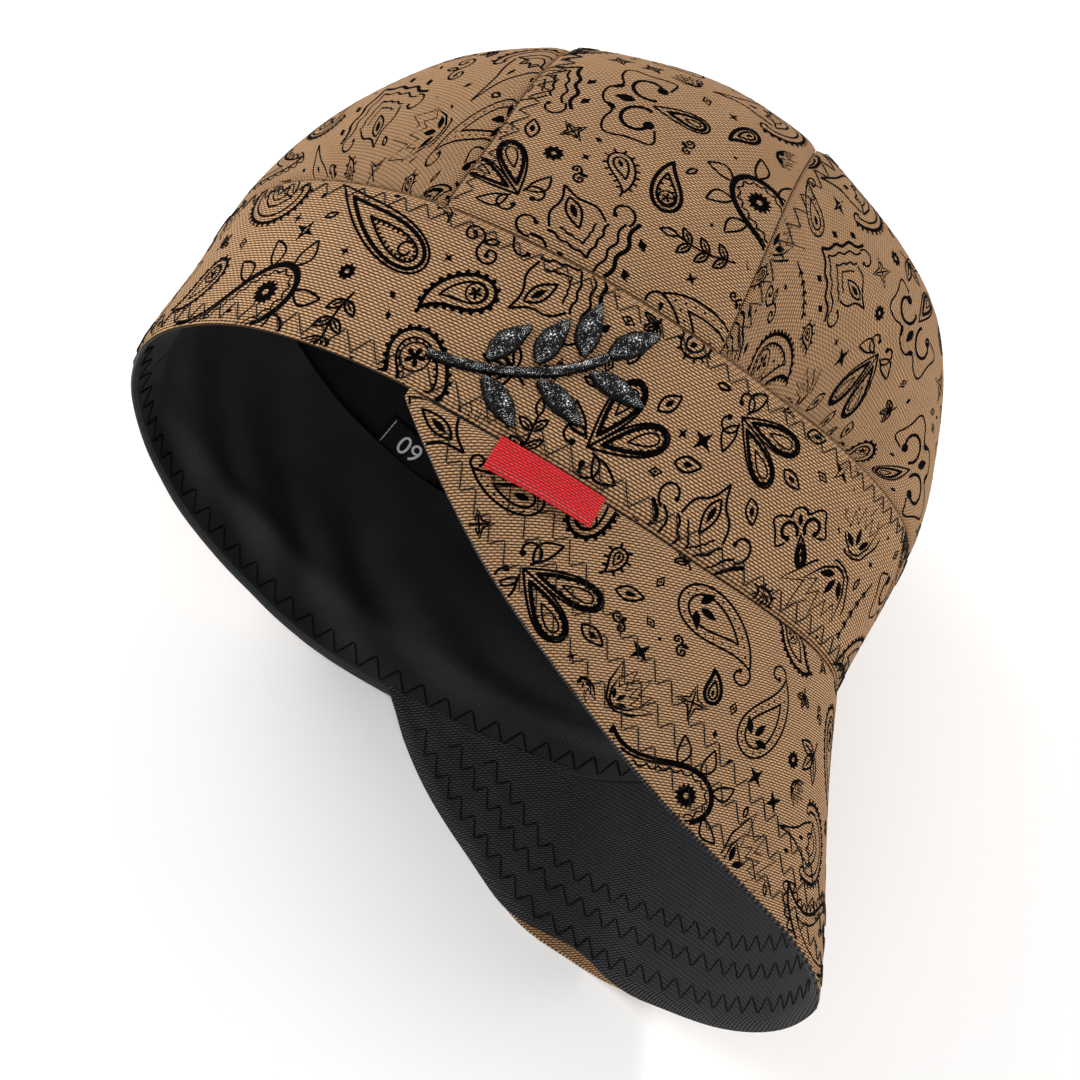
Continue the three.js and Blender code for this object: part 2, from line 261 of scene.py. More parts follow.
# Place on the uncut cloth: real lengths along each row, and along the middle column
def unrolled(grid, spots, columns, rows):
    order = np.lexsort((grid[:, 0].round(6), grid[:, 1].round(6))).reshape(rows + 1, columns + 1)
    lines = spots[order]
    steps = np.linalg.norm(np.diff(lines, axis=1), axis=2)
    across = np.concatenate([np.zeros((rows + 1, 1)), np.cumsum(steps, axis=1)], axis=1)
    across -= across[:, columns // 2][:, None]
    upwards = running(np.linalg.norm(np.diff(lines[:, columns // 2], axis=0), axis=1))
    flat = np.empty((len(spots), 2))
    flat[order.ravel(), 0] = across.ravel()
    flat[order.ravel(), 1] = np.repeat(upwards, columns + 1)
    return flat


# Every piece rides on the one body, with its own material and colour slot
def asPiece(piece, material, nodes=()):
    piece.data.materials.append(material)
    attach(piece, "root")
    if nodes:
        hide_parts(*nodes)
    return piece


insidePoint = Vector((crownMiddle + origin) * mm)


def flatSize(width, height):
    return lambda across, along: np.stack([across * width, along * height], -1)


# A sheet of cloth. place(across, along) gives its points, flat(across, along) its place on the uncut cloth.
def clothSheet(name, columns, rows, place, flat, wall, material, nodes, grainTurned=False):
    bm = bmesh.new()
    bmesh.ops.create_grid(bm, x_segments=columns, y_segments=rows, size=0.5)
    grid = np.array([v.co[:2] for v in bm.verts]) + 0.5
    spots = (place(grid[:, 0], grid[:, 1]) + origin) * mm
    cuts = flat(grid[:, 0], grid[:, 1]) * mm if flat else unrolled(grid, spots, columns, rows)
    if grainTurned:
        cuts = np.stack([cuts[:, 1], -cuts[:, 0]], -1)
    uv = bm.loops.layers.uv.new("cloth")
    for face in bm.faces:
        for loop in face.loops:
            loop[uv].uv = cuts[loop.vert.index]
    for vert, spot in zip(bm.verts, spots):
        vert.co = spot
    bmesh.ops.remove_doubles(bm, verts=bm.verts, dist=1e-7)
    bm.normal_update()
    if sum((f.calc_center_median() - insidePoint).dot(f.normal) * f.calc_area() for f in bm.faces) < 0:
        bmesh.ops.reverse_faces(bm, faces=bm.faces)
    for face in bm.faces:
        face.smooth = True
    piece = toMesh(name, bm)
    if wall:
        thicken = piece.modifiers.new("wall", "SOLIDIFY")
        thicken.thickness = wall * mm
        thicken.offset = -1
    return asPiece(piece, material, nodes)


def curveToMesh(name, data):
    holder = bpy.data.objects.new(name, data)
    scene.collection.objects.link(holder)
    bpy.context.view_layer.update()
    mesh = bpy.data.meshes.new_from_object(holder.evaluated_get(bpy.context.evaluated_depsgraph_get()))
    bpy.data.objects.remove(holder)
    bpy.data.curves.remove(data)
    return mesh


# Materials are made first, because each piece takes its own as it is made
def toLinear(code):
    parts = [int(code[i:i + 2], 16) / 255 for i in (1, 3, 5)]
    return [c / 12.92 if c <= 0.04045 else ((c + 0.055) / 1.055) ** 2.4 for c in parts] + [1.0]


# Settings are values of the node or its inputs. Links come from a socket, or from a node's first output.
def addNode(tree, kind, settings=None, links=None):
    node = tree.nodes.new("ShaderNode" + kind)
    for key, value in (settings or {}).items():
        if isinstance(key, int) or key in node.inputs:
            node.inputs[key].default_value = value
        else:
            setattr(node, key, value)
    for key, source in (links or {}).items():
        tree.links.new(source.outputs[0] if hasattr(source, "outputs") else source, node.inputs[key])
    return node


def maths(tree, operation, *values):
    numbers = {i: value for i, value in enumerate(values) if isinstance(value, (int, float))}
    return addNode(tree, "Math", {"operation": operation, **numbers},
                   {i: value for i, value in enumerate(values) if i not in numbers})


def mapRange(tree, source, low, high, toLow=0.0, toHigh=1.0):
    return addNode(tree, "MapRange", {"From Min": low, "From Max": high, "To Min": toLow, "To Max": toHigh},
                   {"Value": source})


def clothMap(tree, across, along):
    cloth = addNode(tree, "UVMap", {"uv_map": "cloth"})
    return addNode(tree, "Mapping", {"Scale": (1 / (across * mm), 1 / (along * mm), 1)}, {"Vector": cloth})


def newMaterial(name):
    material = bpy.data.materials.new(name)
    material.use_nodes = True
    material.node_tree.nodes.clear()
    return material, material.node_tree


def surface(tree, settings, links=None):
    shader = addNode(tree, "BsdfPrincipled", settings, links)
    addNode(tree, "OutputMaterial", {}, {"Surface": shader})


# Height of a plain weave at a thread pitch in millimetres, from the piece's own cloth map. The threads that run
# across the map are the thick ones: each row is a line of long bumps, set half a bump along from the row beside it.
def plainWeave(tree, pitch):
    scaled = clothMap(tree, pitch, pitch)
    uneven = addNode(tree, "TexNoise", {"Scale": 0.45, "Detail": 2.0}, {"Vector": scaled})
    shifted = addNode(tree, "MixRGB", {"blend_type": "LINEAR_LIGHT", "Fac": 0.2},
                      {"Color1": scaled, "Color2": uneven.outputs["Color"]})
    parts = addNode(tree, "SeparateXYZ", {}, {0: shifted})
    halfOn = maths(tree, "MULTIPLY", maths(tree, "FLOOR", parts.outputs["Y"]), 0.5)
    way = maths(tree, "MULTIPLY_ADD", parts.outputs["X"], 1 / 2.1, halfOn)
    rounds = []
    for place, power in ((parts.outputs["Y"], 0.8), (way, 0.7)):
        double = maths(tree, "MULTIPLY", maths(tree, "PINGPONG", place, 0.5), 2.0)
        rounds.append(maths(tree, "POWER", double, power))
    return maths(tree, "MULTIPLY", rounds[0], maths(tree, "MULTIPLY_ADD", rounds[1], 0.6, 0.4)), scaled


# Cotton cloth: thread tops are painted lighter, as if they catch the light, and the gaps between threads darker, as
# painted shade; the yarn is uneven
def wovenCloth(name, pitch, top, gap, depth, roughness, sheen, mottle=0.06, specular=0.3, tint="#ffffff"):
    material, tree = newMaterial(name)
    height, place = plainWeave(tree, pitch)
    # painted light and shade: the colour goes from the dark gap colour to the light top colour with the weave's
    # height
    colour = addNode(tree, "MixRGB", {"Color1": toLinear(gap), "Color2": toLinear(top)},
                     {"Fac": mapRange(tree, height, 0.22, 0.72)})
    cloudy = addNode(tree, "TexNoise", {"Scale": 0.045, "Detail": 3.0}, {"Vector": place})
    clouds = mapRange(tree, cloudy, 0.3, 0.7, 1 - mottle, 1 + mottle)
    shaded = addNode(tree, "VectorMath", {"operation": "SCALE"}, {0: colour, "Scale": clouds})
    bump = addNode(tree, "Bump", {"Strength": 0.9, "Distance": depth * mm}, {"Height": height})
    surface(tree, {"Roughness": roughness, "Specular IOR Level": specular, "Sheen Weight": sheen,
                   "Sheen Roughness": 0.4, "Sheen Tint": toLinear(tint)}, {"Base Color": shaded, "Normal": bump})
    return material


# In each row: thread pitch in millimetres, colours of the thread tops and of the gaps, depth of the weave in
# millimetres, roughness, sheen, unevenness of the yarn, specular level, tint of the sheen
# Cotton duck: a heavy plain weave, dry and matte, whose thick threads show one by one.
# Its threads are 0.75 mm apart. They are drawn at 0.8 mm, so that each one still shows from a metre away.
duckCotton = wovenCloth("duckCotton", 0.8, "#c59b72", "#322218", 0.34, 0.9, 0.1, 0.05, 0.05, "#d9b48e")
# The same duck where the dye is printed on: black, still showing every thread
printedDye = wovenCloth("printedDye", 0.8, "#060404", "#020101", 0.3, 0.95, 0.0, specular=0.02)
# Black duck under the peak: the same heavy weave as the outside
peakCanvas = wovenCloth("peakCanvas", 0.8, "#404043", "#060607", 0.36, 0.85, 0.03, 0.08, 0.2)
# The finer cloths are drawn a little coarser than they are, so that their threads still show.
# Brushed cotton for the band inside: smooth, soft and black, with a faint bloom
bandCotton = wovenCloth("bandCotton", 0.6, "#232325", "#0d0d0e", 0.12, 0.65, 0.03, 0.3, 0.4)
# Black cotton lining: thin, plain and a little duller than the band
liningCotton = wovenCloth("liningCotton", 0.7, "#232326", "#0c0c0d", 0.15, 0.85, 0.04, 0.1, 0.2)
# Woven damask label: fine, tight and slightly glossy
labelWeave = wovenCloth("labelWeave", 0.4, "#19191b", "#0e0e10", 0.05, 0.6, 0.05)
# Red polyester ribbon: bright, with coarse ribs and a satin shine
redRibbon = wovenCloth("redRibbon", 0.8, "#f42027", "#70060b", 0.4, 0.45, 0.0, 0.06, 0.3)


# Spun thread: round and slightly glossy, roughened by its fine fibres
def spunThread(name, code, roughness, depth, specular):
    material, tree = newMaterial(name)
    where = addNode(tree, "TexCoord")
    fibres = addNode(tree, "TexNoise", {"Scale": 1 / (0.35 * mm), "Detail": 3.0, "Distortion": 0.4},
                     {"Vector": where.outputs["Object"]})
    bump = addNode(tree, "Bump", {"Strength": 0.6, "Distance": depth * mm}, {"Height": fibres})
    surface(tree, {"Base Color": toLinear(code), "Specular IOR Level": specular, "Roughness": roughness},
            {"Normal": bump})
    return material


# The cloth map of each satin band is this wide, in millimetres, however wide the band is
satinMapWidth = 7


# Satin stitch in rayon thread: black, with its silky shine painted into the colour as short pale streaks that lie
# along each thread (painted glints)
def satinSilk(name, dark, paintedGlint):
    material, tree = newMaterial(name)
    fibres = addNode(tree, "TexNoise", {"Scale": 1.0, "Detail": 3.0, "Roughness": 0.7},
                     {"Vector": clothMap(tree, 0.3, 0.8)})
    patches = addNode(tree, "TexNoise", {"Scale": 1.0, "Detail": 1.0}, {"Vector": clothMap(tree, 4, 3)})
    # painted glints: pale streaks in the colour where the fibre noise runs high
    paintedSparkles = mapRange(tree, maths(tree, "MULTIPLY_ADD", patches, 0.34, fibres), 0.745, 0.83)
    # painted highlight: only the crown of the padded band gets the painted glints, so the sides of each leaf stay
    # black
    across = addNode(tree, "SeparateXYZ", {}, {0: clothMap(tree, satinMapWidth, satinMapWidth)}).outputs["Y"]
    tops = mapRange(tree, maths(tree, "PINGPONG", across, 0.5), 0.08, 0.24)
    # the colour mixes the black thread with the painted white glints
    colour = addNode(tree, "MixRGB", {"Color1": toLinear(dark), "Color2": toLinear(paintedGlint)},
                     {"Fac": maths(tree, "MULTIPLY", paintedSparkles, tops)})
    bump = addNode(tree, "Bump", {"Strength": 0.8, "Distance": 0.3 * mm}, {"Height": fibres})
    surface(tree, {"Roughness": 0.45, "Specular IOR Level": 0.1}, {"Base Color": colour, "Normal": bump})
    return material


# Polyester sewing thread: black and round
sewingThread = spunThread("sewingThread", "#040404", 0.6, 0.1, 0.12)
# Rayon embroidery thread: black, with painted white glints
satinThread = satinSilk("satinThread", "#020202", "#ffffff")
# Woven numerals: pale grey thread
numeralThread = spunThread("numeralThread", "#f0f0f0", 0.6, 0.1, 0.3)
print("materials made")


def aroundTurn(across):
    return mix(-math.pi, math.pi, across)


# Lengths of the uncut cloth, and of the seams on the cap
lengths = {"rim": 616, "sweatband": 590, "lining": 340, "hemSeam": 600, "ringSeam": 590, "backSeam": 270,
           "frontSeam": 235}
hem = {
    "cover": 2.2, "wrap": 0.9, "inset": 1.1, "roll": 0.45, "press": 15, "lappedDepth": 2.85, "wrapOut": 1.25,
    "ridge": 1.5, "ridgeHeight": 13, "ridgeWide": 3.4, "pucker": 1.3, "puckerHeight": 20, "puckerWide": 15,
}


# The band inside. Its lower edge laps over the peak in front, and rolls round the rim at the back and left.
def hemParts(turn):
    lapped = unit((np.cos(turn) + 0.25) / 0.3)
    wrapped = (1 - lapped) * unit(0.6 - 0.8 * np.sin(turn))
    return lapped, wrapped, hem["inset"] * (1 - lapped - wrapped) - hem["cover"] * lapped - hem["wrap"] * wrapped


def bandPlace(across, along):
    turn, up = aroundTurn(across), closer(along)
    height = ringShare(turn) * crown["height"]
    peakJoin = 0.9 + 0.9 * hemParts(turn)[0] * unit(np.sin(turn) * 3)
    depth = crease(height * (1 - up)) + crease(height * up, peakJoin)
    depth += crease(np.minimum(across, 1 - across) * lengths["rim"], 0.5)
    return crownLayer(turn, (ringShare(turn) - seams["opening"] / 2 / crown["height"]) * up, depth)


def middleSpot(across, along):
    across, along = closer(across), closer(along)
    level = mix(-1, 1, along)
    start, stop = backSeam(level) + halfOpening, frontSeam(level) - halfOpening
    end = mix(backSeam(1) + halfOpening, frontSeam(1) - halfOpening, across)
    return mix(start, stop, across), level * (np.sqrt(1 - end ** 2) - halfOpening)


def middlePlace(across, along):
    forward, side = middleSpot(across, along)
    level = mix(-1, 1, closer(along))
    width = (frontSeam(level) - backSeam(level)) * discWay
    toSeam = np.minimum(closer(across), 1 - closer(across)) * width
    toRing = (1 - np.hypot(forward, side)) * discWay
    return discLayer(forward, side, crease(toSeam) + crease(toRing))


# A panel between a cross seam and the ring seam, spread between its four edges
def endPlace(seam, away):
    start = math.acos(seam(1) * away)
    edge = start * 0.52
    radius = 1 - halfOpening

    def ringPlace(turn):
        return np.stack([np.cos(turn) * away, np.sin(turn)], -1) * radius

    def place(across, along):
        across, along = closer(across), closer(along)
        level = mix(-1, 1, across)
        near = np.stack([seam(level) + halfOpening * away, level * math.sin(start) * radius], -1)
        a, b = across[:, None], along[:, None]
        sides = mix(ringPlace(-mix(start, edge, along)), ringPlace(mix(start, edge, along)), a)
        corners = mix(mix(ringPlace(np.array(-start)), ringPlace(np.array(start)), a),
                      mix(ringPlace(np.array(-edge)), ringPlace(np.array(edge)), a), b)
        forward, side = (mix(near, ringPlace(edge * level), b) + sides - corners).T
        toSeam = (forward - seam(side / math.sin(start))) * away * discWay
        toRing = (1 - np.hypot(forward, side)) * discWay
        return discLayer(forward, side, crease(toSeam) + crease(toRing))
    return place


shells = {}
for name, columns, rows, place, grainTurned in (
        ("band", 240, 26, bandPlace, False), ("middle", 34, 96, middlePlace, False),
        ("back", 80, 34, endPlace(backSeam, -1), True), ("front", 80, 38, endPlace(frontSeam, 1), True)):
    shells[name] = clothSheet(name + "_shell", columns, rows, place, None, layers["shell"], duckCotton,
                              ["crown_" + name], grainTurned)


def squareTurn(x, y):
    quarter = math.pi / 4
    safeX, safeY = np.where(x == 0, 1, x), np.where(y == 0, 1, y)
    wide = np.abs(x) >= np.abs(y)
    return np.where(wide, quarter * y / safeX + np.where(x < 0, math.pi, 0),
                    np.sign(y) * 2 * quarter - quarter * x / safeY)


def liningPlace(across, along):
    x, y = mix(-1, 1, across), mix(-1, 1, along)
    radius = np.maximum(np.abs(x), np.abs(y))
    share = np.interp(radius * slopeWay[-1] * 0.8, slopeWay, slopeShare)
    return crownLayer(squareTurn(x, y), share, layers["shell"] + layers["gap"])


clothSheet("lining_dome", 90, 90, liningPlace, flatSize(lengths["lining"], lengths["lining"]),
           layers["lining"], liningCotton, ["lining"])
bandDepth = layers["shell"] + layers["lining"] + 2 * layers["gap"]


def bandLevel(turn, height):
    lapped, wrapped, low = hemParts(turn)
    loft = unit(height / hem["press"]) ** 2
    depth = mix(mix(layers["shell"] + 0.1, hem["lappedDepth"], lapped), bandDepth, loft)
    depth = depth - hem["wrapOut"] * wrapped * np.exp(-(np.clip(height - low, 0, None) / hem["roll"]) ** 2)
    # soft folds: a ridge along the zigzag, puckers over the peak join and a loose wave above
    inside = unit(height / 8)
    ridge = np.exp(-((height - hem["ridgeHeight"] - 3 * np.sin(turn * 2.3)) / hem["ridgeWide"]) ** 2)
    depth += hem["ridge"] * ridge * (0.55 + 0.45 * np.sin(turn * 5 + 1))
    puckers = np.sin(turn * 14 + 0.2 * height + 2 * np.sin(turn * 3))
    depth += hem["pucker"] * inside * puckers * np.exp(-((height - hem["puckerHeight"]) / hem["puckerWide"]) ** 2)
    depth += 0.4 * inside * np.sin(height * 0.17 + turn * 6 + 1.5 * np.sin(turn * 4))
    return depth


def sweatbandPlace(across, along):
    turn, up = aroundTurn(across), closer(along)
    height = mix(hemParts(turn)[2], layers["bandHeight"], up)
    loose = unit((height - 46) / 16) ** 2 * (0.8 + 0.5 * np.sin(turn * 7) + 0.3 * np.sin(turn * 17 + 1))
    return crownAt(turn, height, bandLevel(turn, height) + loose)


clothSheet("sweatband_strip", 300, 44, sweatbandPlace,
           lambda a, b: np.stack([(a - 0.5) * lengths["sweatband"], closer(b) * layers["bandHeight"]], -1),
           layers["band"], bandCotton, ["sweatband"])
print("crown made")

peak = {
    "length": 90.5, "tip": 3, "startRight": 103, "startLeft": 98, "flat": 1.555, "round": 0.936,
    "dropFront": 68.5, "dropRight": 105.7, "dropLeft": 84.2, "dropEase": 1.3, "leanFade": 12,
    "edgeWaves": [(-0.63, 0.07, 2.8), (-0.4, 0.12, -2.0), (-1.0, 0.09, -2.4)], "cutRadius": 265, "cutHalf": 0.65,
    "cutAside": 1500, "drawnIn": (6, 15.5, 23.5), "lip": 0.45, "lipRoll": 1.7, "bare": (-0.555, 0.14, 3.5),
}


def peakTurn(side):
    return side * np.radians(np.where(side > 0, peak["startRight"], peak["startLeft"]))


def peakPoint(side, distance):
    turn = peakTurn(side)
    low = np.where(side > 0, peak["dropRight"], peak["dropLeft"])
    drop = np.radians(mix(peak["dropFront"], low, np.abs(side) ** peak["dropEase"]))
    along = crownPoint(turn + 0.01, 0) - crownPoint(turn - 0.01, 0)
    out = np.stack([along[..., 2], 0 * turn, -along[..., 0]], -1)
    out /= np.linalg.norm(out, axis=-1, keepdims=True)
    heading = out * np.cos(drop)[..., None]
    heading[..., 1] -= np.sin(drop)
    spot = crownPoint(turn, 0) + heading * np.asarray(distance)[..., None]
    spot[..., 2] = pressFlat(spot[..., 2])
    return spot


def peakWidth(side):
    share = np.minimum(np.abs(side), 1)
    width = peak["tip"] + (peak["length"] - peak["tip"]) * (1 - share ** peak["flat"]) ** peak["round"]
    return width + sum(rise * np.exp(-((side - at) / wide) ** 2) for at, wide, rise in peak["edgeWaves"])


peakMiddle = np.array([0, -peak["length"] / 2, 0])


def peakLayer(side, distance, depth):
    side, distance = np.broadcast_arrays(np.asarray(side, float), np.asarray(distance, float))
    rimNormal = outward(crownPoint, peakTurn(side), 0.004 + 0 * side, 1, crownMiddle)
    inner = np.clip(side, -0.995, 0.995)
    peakNormal = outward(peakPoint, inner, np.maximum(distance, 1), math.inf, peakMiddle)
    lean = unit(distance / peak["leanFade"])
    lean = (lean * lean * (3 - 2 * lean))[..., None]
    normal = mix(rimNormal, peakNormal, lean)
    normal /= np.linalg.norm(normal, axis=-1, keepdims=True)
    spot = peakPoint(side, distance)
    return spot - normal * (np.asarray(depth) + foldDepth(spot))[..., None]


def peakSpot(across, along, short):
    side = mix(-1, 1, closer(across, 0.5))
    return side, mix(0.1, peakWidth(side) - short, closer(along))


def peakFlat(across, along):
    side, distance = peakSpot(across, along, 0)
    turn, reach = side * peak["cutHalf"], peak["cutRadius"] + distance
    return np.stack([reach * np.sin(turn) + peak["cutAside"], reach * np.cos(turn)], -1)


def nearSide(side):
    return unit((side - 0.3) / 0.25)


def peakTopPlace(across, along):
    side, distance = peakSpot(across, along, 0)
    width = peakWidth(side)
    toSeam = crease(distance, mix(1.3, 2.2, unit(side * 3)))
    toEdge = crease(width - distance, mix(0.2, 0.7, nearSide(side)))
    return peakLayer(side, distance, (toSeam + toEdge) * np.clip(width / 9, 0.1, 1))


# The black cloth rolls over the free edge, but leaves a strip of the printed cloth bare on the left
def bareStrip(side):
    at, wide, _ = peak["bare"]
    return np.cos(math.pi / 2 * unit(np.abs(side - at) / wide)) ** 2


# The black cloth is drawn in along each row of stitches, and ripples a little between them
def underDepth(side, inward):
    drawnIn = sum(0.35 * np.exp(-((inward - row) / 2.6) ** 2) for row in peak["drawnIn"])
    depth = layers["shell"] + layers["gap"] - drawnIn
    return depth + 0.3 * np.sin(side * 47 + 2 * np.sin(side * 9)) * np.exp(-inward / 22) * unit(inward / 4)


def peakUnderPlace(across, along):
    side = mix(-1, 1, closer(across, 0.5))
    bare, near = bareStrip(side), nearSide(side)
    short = mix(mix(-peak["lip"], 0.2, near), peak["bare"][2], bare)
    side, distance = peakSpot(across, along, short)
    inward = peakWidth(side) - distance
    rolled = crease(inward - short, mix(mix(peak["lipRoll"], 0.8, near), 0.5, bare))
    return peakLayer(side, distance, underDepth(side, inward) - rolled * unit(peakWidth(side) / 9 - 0.2))


shells["peak"] = clothSheet("peak_outer", 130, 40, peakTopPlace, peakFlat, layers["shell"], duckCotton,
                            ["peak_top"])
clothSheet("peak_inner", 130, 40, peakUnderPlace, peakFlat, layers["lining"], peakCanvas,
           ["peak_under"])
print("peak made")

trim = {
    "tagForward": 28.5, "tagWidth": 31, "tagDrop": 10, "tagWall": 0.9, "tagGap": 0.5,
    "labelTurn": -116, "labelWidth": 24, "labelRise": 10, "labelWall": 0.4,
}


# The turn at which the right side is a given distance forward
def rightTurnAt(forward, share):
    low, high = 0 * forward, math.pi + 0 * forward
    for _ in range(40):
        middle = (low + high) / 2
        ahead = crownPoint(middle, share)[..., 0] > forward
        low, high = np.where(ahead, middle, low), np.where(ahead, high, middle)
    return low


tagMiddle = float(rightTurnAt(np.array(float(trim["tagForward"])), 0))
tagStep = crownPoint(np.array(tagMiddle), 0) - crownPoint(np.array(tagMiddle - 0.1), 0)
tagHalf = trim["tagWidth"] / 2 / (np.linalg.norm(tagStep) / 0.1)


def tagPlace(across, along):
    side = mix(tagMiddle - tagHalf, tagMiddle + tagHalf, across) / math.radians(peak["startRight"])
    distance = mix(0.2, trim["tagDrop"], along)
    # it stands off the cloth, and its folded lower edge and both ends turn down again
    ends = np.exp(-(np.minimum(across, 1 - across) / 0.035) ** 2)
    lift = 0.3 + 2.4 * along ** 1.1 + 0.3 * np.sin(across * 5) * along - 0.8 * np.exp(-((1 - along) / 0.12) ** 2)
    lift = np.maximum(lift - 0.6 * ends * along, 0)
    return peakLayer(side, distance, -trim["tagGap"] - lift)


clothSheet("ribbon_tag", 60, 24, tagPlace, flatSize(trim["tagWidth"], trim["tagDrop"]),
           trim["tagWall"], redRibbon, ["seam_tag"])


def labelPlace(across, along, extra=0.0):
    half = trim["labelWidth"] / 2 / crown["leftReach"]
    turn = math.radians(trim["labelTurn"]) + mix(-half, half, across)
    height = layers["bandHeight"] + 0.3 + trim["labelRise"] * along
    return crownAt(turn, height, bandDepth - 0.7 + extra + 0.3 * np.sin(across * 4))


clothSheet("woven_label", 24, 10, labelPlace, flatSize(trim["labelWidth"], trim["labelRise"]),
           trim["labelWall"], labelWeave, ["size_label"])
print("trim made")

sewing = {
    "thread": 0.17, "hemThread": 0.26, "underThread": 0.21, "rimPitch": 7.4, "rimWide": 6.0, "rimIn": 1.3,
    "seamPitch": 6.2, "seamWide": 4.6, "seamIn": 2.0, "peakPitch": 7.2, "peakWide": 5.2,
    "peakRows": (3.6, 13.2, 21.2),
}


# Zigzag stitches: the thread dives into the cloth at each corner and stands off it in between
def zigzag(name, rows, thick=sewing["thread"], material=sewingThread):
    data = bpy.data.curves.new(name, "CURVE")
    data.dimensions = "3D"
    data.bevel_depth = thick * mm
    data.bevel_resolution = 1
    for count, wide, place in rows:
        corner = np.repeat(np.arange(2 * count), 4) + np.tile([0, 0.12, 0.5, 0.88], 2 * count)
        corner = np.append(corner, 2 * count)
        swing = np.abs((corner + 1) % 2 - 1)
        inward = np.minimum(corner % 1, 1 - corner % 1)
        lift = np.interp(inward, [0, 0.12, 0.5], [-0.3, 0.1, 0.14])
        spots = (place(corner / (2 * count), swing * wide, lift) + origin) * mm
        spots[:, 2] = np.maximum(spots[:, 2], thick * mm)
        spline = data.splines.new("POLY")
        spline.points.add(len(spots) - 1)
        for point, spot in zip(spline.points, spots):
            point.co = (*spot, 1)
    mesh = curveToMesh(name, data)
    for face in mesh.polygons:
        face.use_smooth = True
    piece = bpy.data.objects.new(name, mesh)
    scene.collection.objects.link(piece)
    asPiece(piece, material)


def rimOutside(share, wide, lift):
    return crownAt(aroundTurn(share), sewing["rimIn"] + wide, -lift)


def rimInside(share, wide, lift):
    turn = aroundTurn(share)
    height = hemParts(turn)[2] + sewing["rimIn"] + wide
    return crownAt(turn, height, bandLevel(turn, height) + layers["band"] + lift)


def belowRing(share, wide, lift):
    turn = aroundTurn(share)
    height = ringShare(turn) * crown["height"] - sewing["seamIn"] - wide
    return crownAt(turn, height, -lift)


def besideSeam(seam):
    reach = math.sqrt(1 - seam(1) ** 2)

    def place(share, wide, lift):
        level = mix(-0.985, 0.985, share)
        return discLayer(seam(level) + (sewing["seamIn"] + wide) / discWay, level * reach, -lift)
    return place


def peakRow(distanceIn, inside):
    sides = np.linspace(-1, 1, 801)
    wideEnough = sides[peakWidth(sides) > distanceIn + sewing["peakWide"] + 3.5]

    def place(share, wide, lift):
        side = mix(wideEnough[0], wideEnough[-1], share)
        distance = peakWidth(side) - distanceIn - wide
        depth = underDepth(side, distanceIn + wide) + layers["lining"] + lift if inside else -lift
        return peakLayer(side, distance, depth)

    steps = np.diff(place(np.linspace(0, 1, 60), 0, 0), axis=0)
    return int(np.linalg.norm(steps, axis=1).sum() / sewing["peakPitch"]), sewing["peakWide"], place


# The label is sewn down along one end
def labelEdge(share, _, lift):
    return labelPlace(0.05 + 0 * share, mix(0.08, 0.92, share), trim["labelWall"] + lift)


def seamRow(length, kind, place):
    return int(lengths[length] / sewing[kind + "Pitch"]), sewing[kind + "Wide"], place


zigzag("hem_stitches", [seamRow("hemSeam", "rim", rimInside)], sewing["hemThread"])
zigzag("band_stitches", [seamRow("hemSeam", "rim", rimOutside), seamRow("ringSeam", "seam", belowRing)])
zigzag("seam_stitches", [seamRow("backSeam", "seam", besideSeam(backSeam)),
                         seamRow("frontSeam", "seam", besideSeam(frontSeam))])
zigzag("peak_top_stitches", [peakRow(d, False) for d in sewing["peakRows"]])
zigzag("peak_under_stitches", [peakRow(d, True) for d in sewing["peakRows"]],
       sewing["underThread"])
zigzag("label_stitches", [(3, 0, labelEdge)], material=numeralThread)
print("stitches made")

sprig = {
    "forward": 13, "height": 25, "stem": ((-27, -14.5), (0, -11.5), (13, 8.5)), "stemWidth": 3.0, "pairs": 3,
    "first": 0.26, "step": 0.285, "leafLength": 15.5, "leafWidth": 7, "leafPoint": 1.2, "leafBend": 1.5,
    "leafTurn": 52, "full": 0.9, "raise": 1.55, "gap": 0.05, "threadPitch": 0.42,
}


def curve(points, share):
    a, b, c = (complex(*p) if isinstance(p, tuple) else p for p in points)
    spot = (1 - share) ** 2 * a + 2 * share * (1 - share) * b + share ** 2 * c
    heading = (1 - share) * (b - a) + share * (c - b)
    return spot, heading / np.abs(heading)


# Satin stitch: threads lie side by side across a padded band, each a little ridge of its own
def satin(name, line, width, nodes):
    fine = np.linspace(0, 1, 200)
    marks = curve(line, fine)[0]
    way = running(np.abs(np.diff(marks)))
    threads = int(way[-1] / sprig["threadPitch"])
    rng = np.random.default_rng(len(name) + int(abs(marks[0]) * 10))
    stagger = rng.uniform(-0.3, 0.25, threads * 3 + 4)
    level = rng.uniform(-0.05, 0.05, threads + 2)

    def place(across, along):
        share = np.interp(across * way[-1], way, fine)
        spot, heading = curve(line, share)
        number = across * threads
        index = np.clip(number.astype(int), 0, threads)
        swing = 2 * along - 1
        reach = width(share) / 2 + stagger[index] * np.abs(swing) ** 4
        ridge = 0.16 * np.abs(np.sin(math.pi * number)) + level[index]
        dome = np.sqrt(unit(1 - swing ** 2))
        spot = spot + 1j * heading * swing * reach + heading * 0.5 * swing * sprig["threadPitch"]
        share = (sprig["height"] + spot.imag) / crown["height"]
        turn = rightTurnAt(sprig["forward"] + spot.real, share)
        return crownLayer(turn, share, -sprig["gap"] - sprig["raise"] * dome ** 0.8 - ridge * dome)

    clothSheet(name, threads * 3, 12, place, flatSize(way[-1], satinMapWidth), 0, satinThread,
               nodes)


def leafWidth(share):
    return mix(sprig["leafPoint"], sprig["leafWidth"], np.sin(math.pi * np.asarray(share) ** sprig["full"]))


def satinLeaf(number, foot, heading):
    tip = foot + heading * sprig["leafLength"]
    bend = foot + heading * sprig["leafLength"] / 2 + 1j * heading * sprig["leafBend"]
    satin(f"satin_leaf_{number}", (foot, bend, tip), leafWidth, [f"motif_leaf_{number}"])


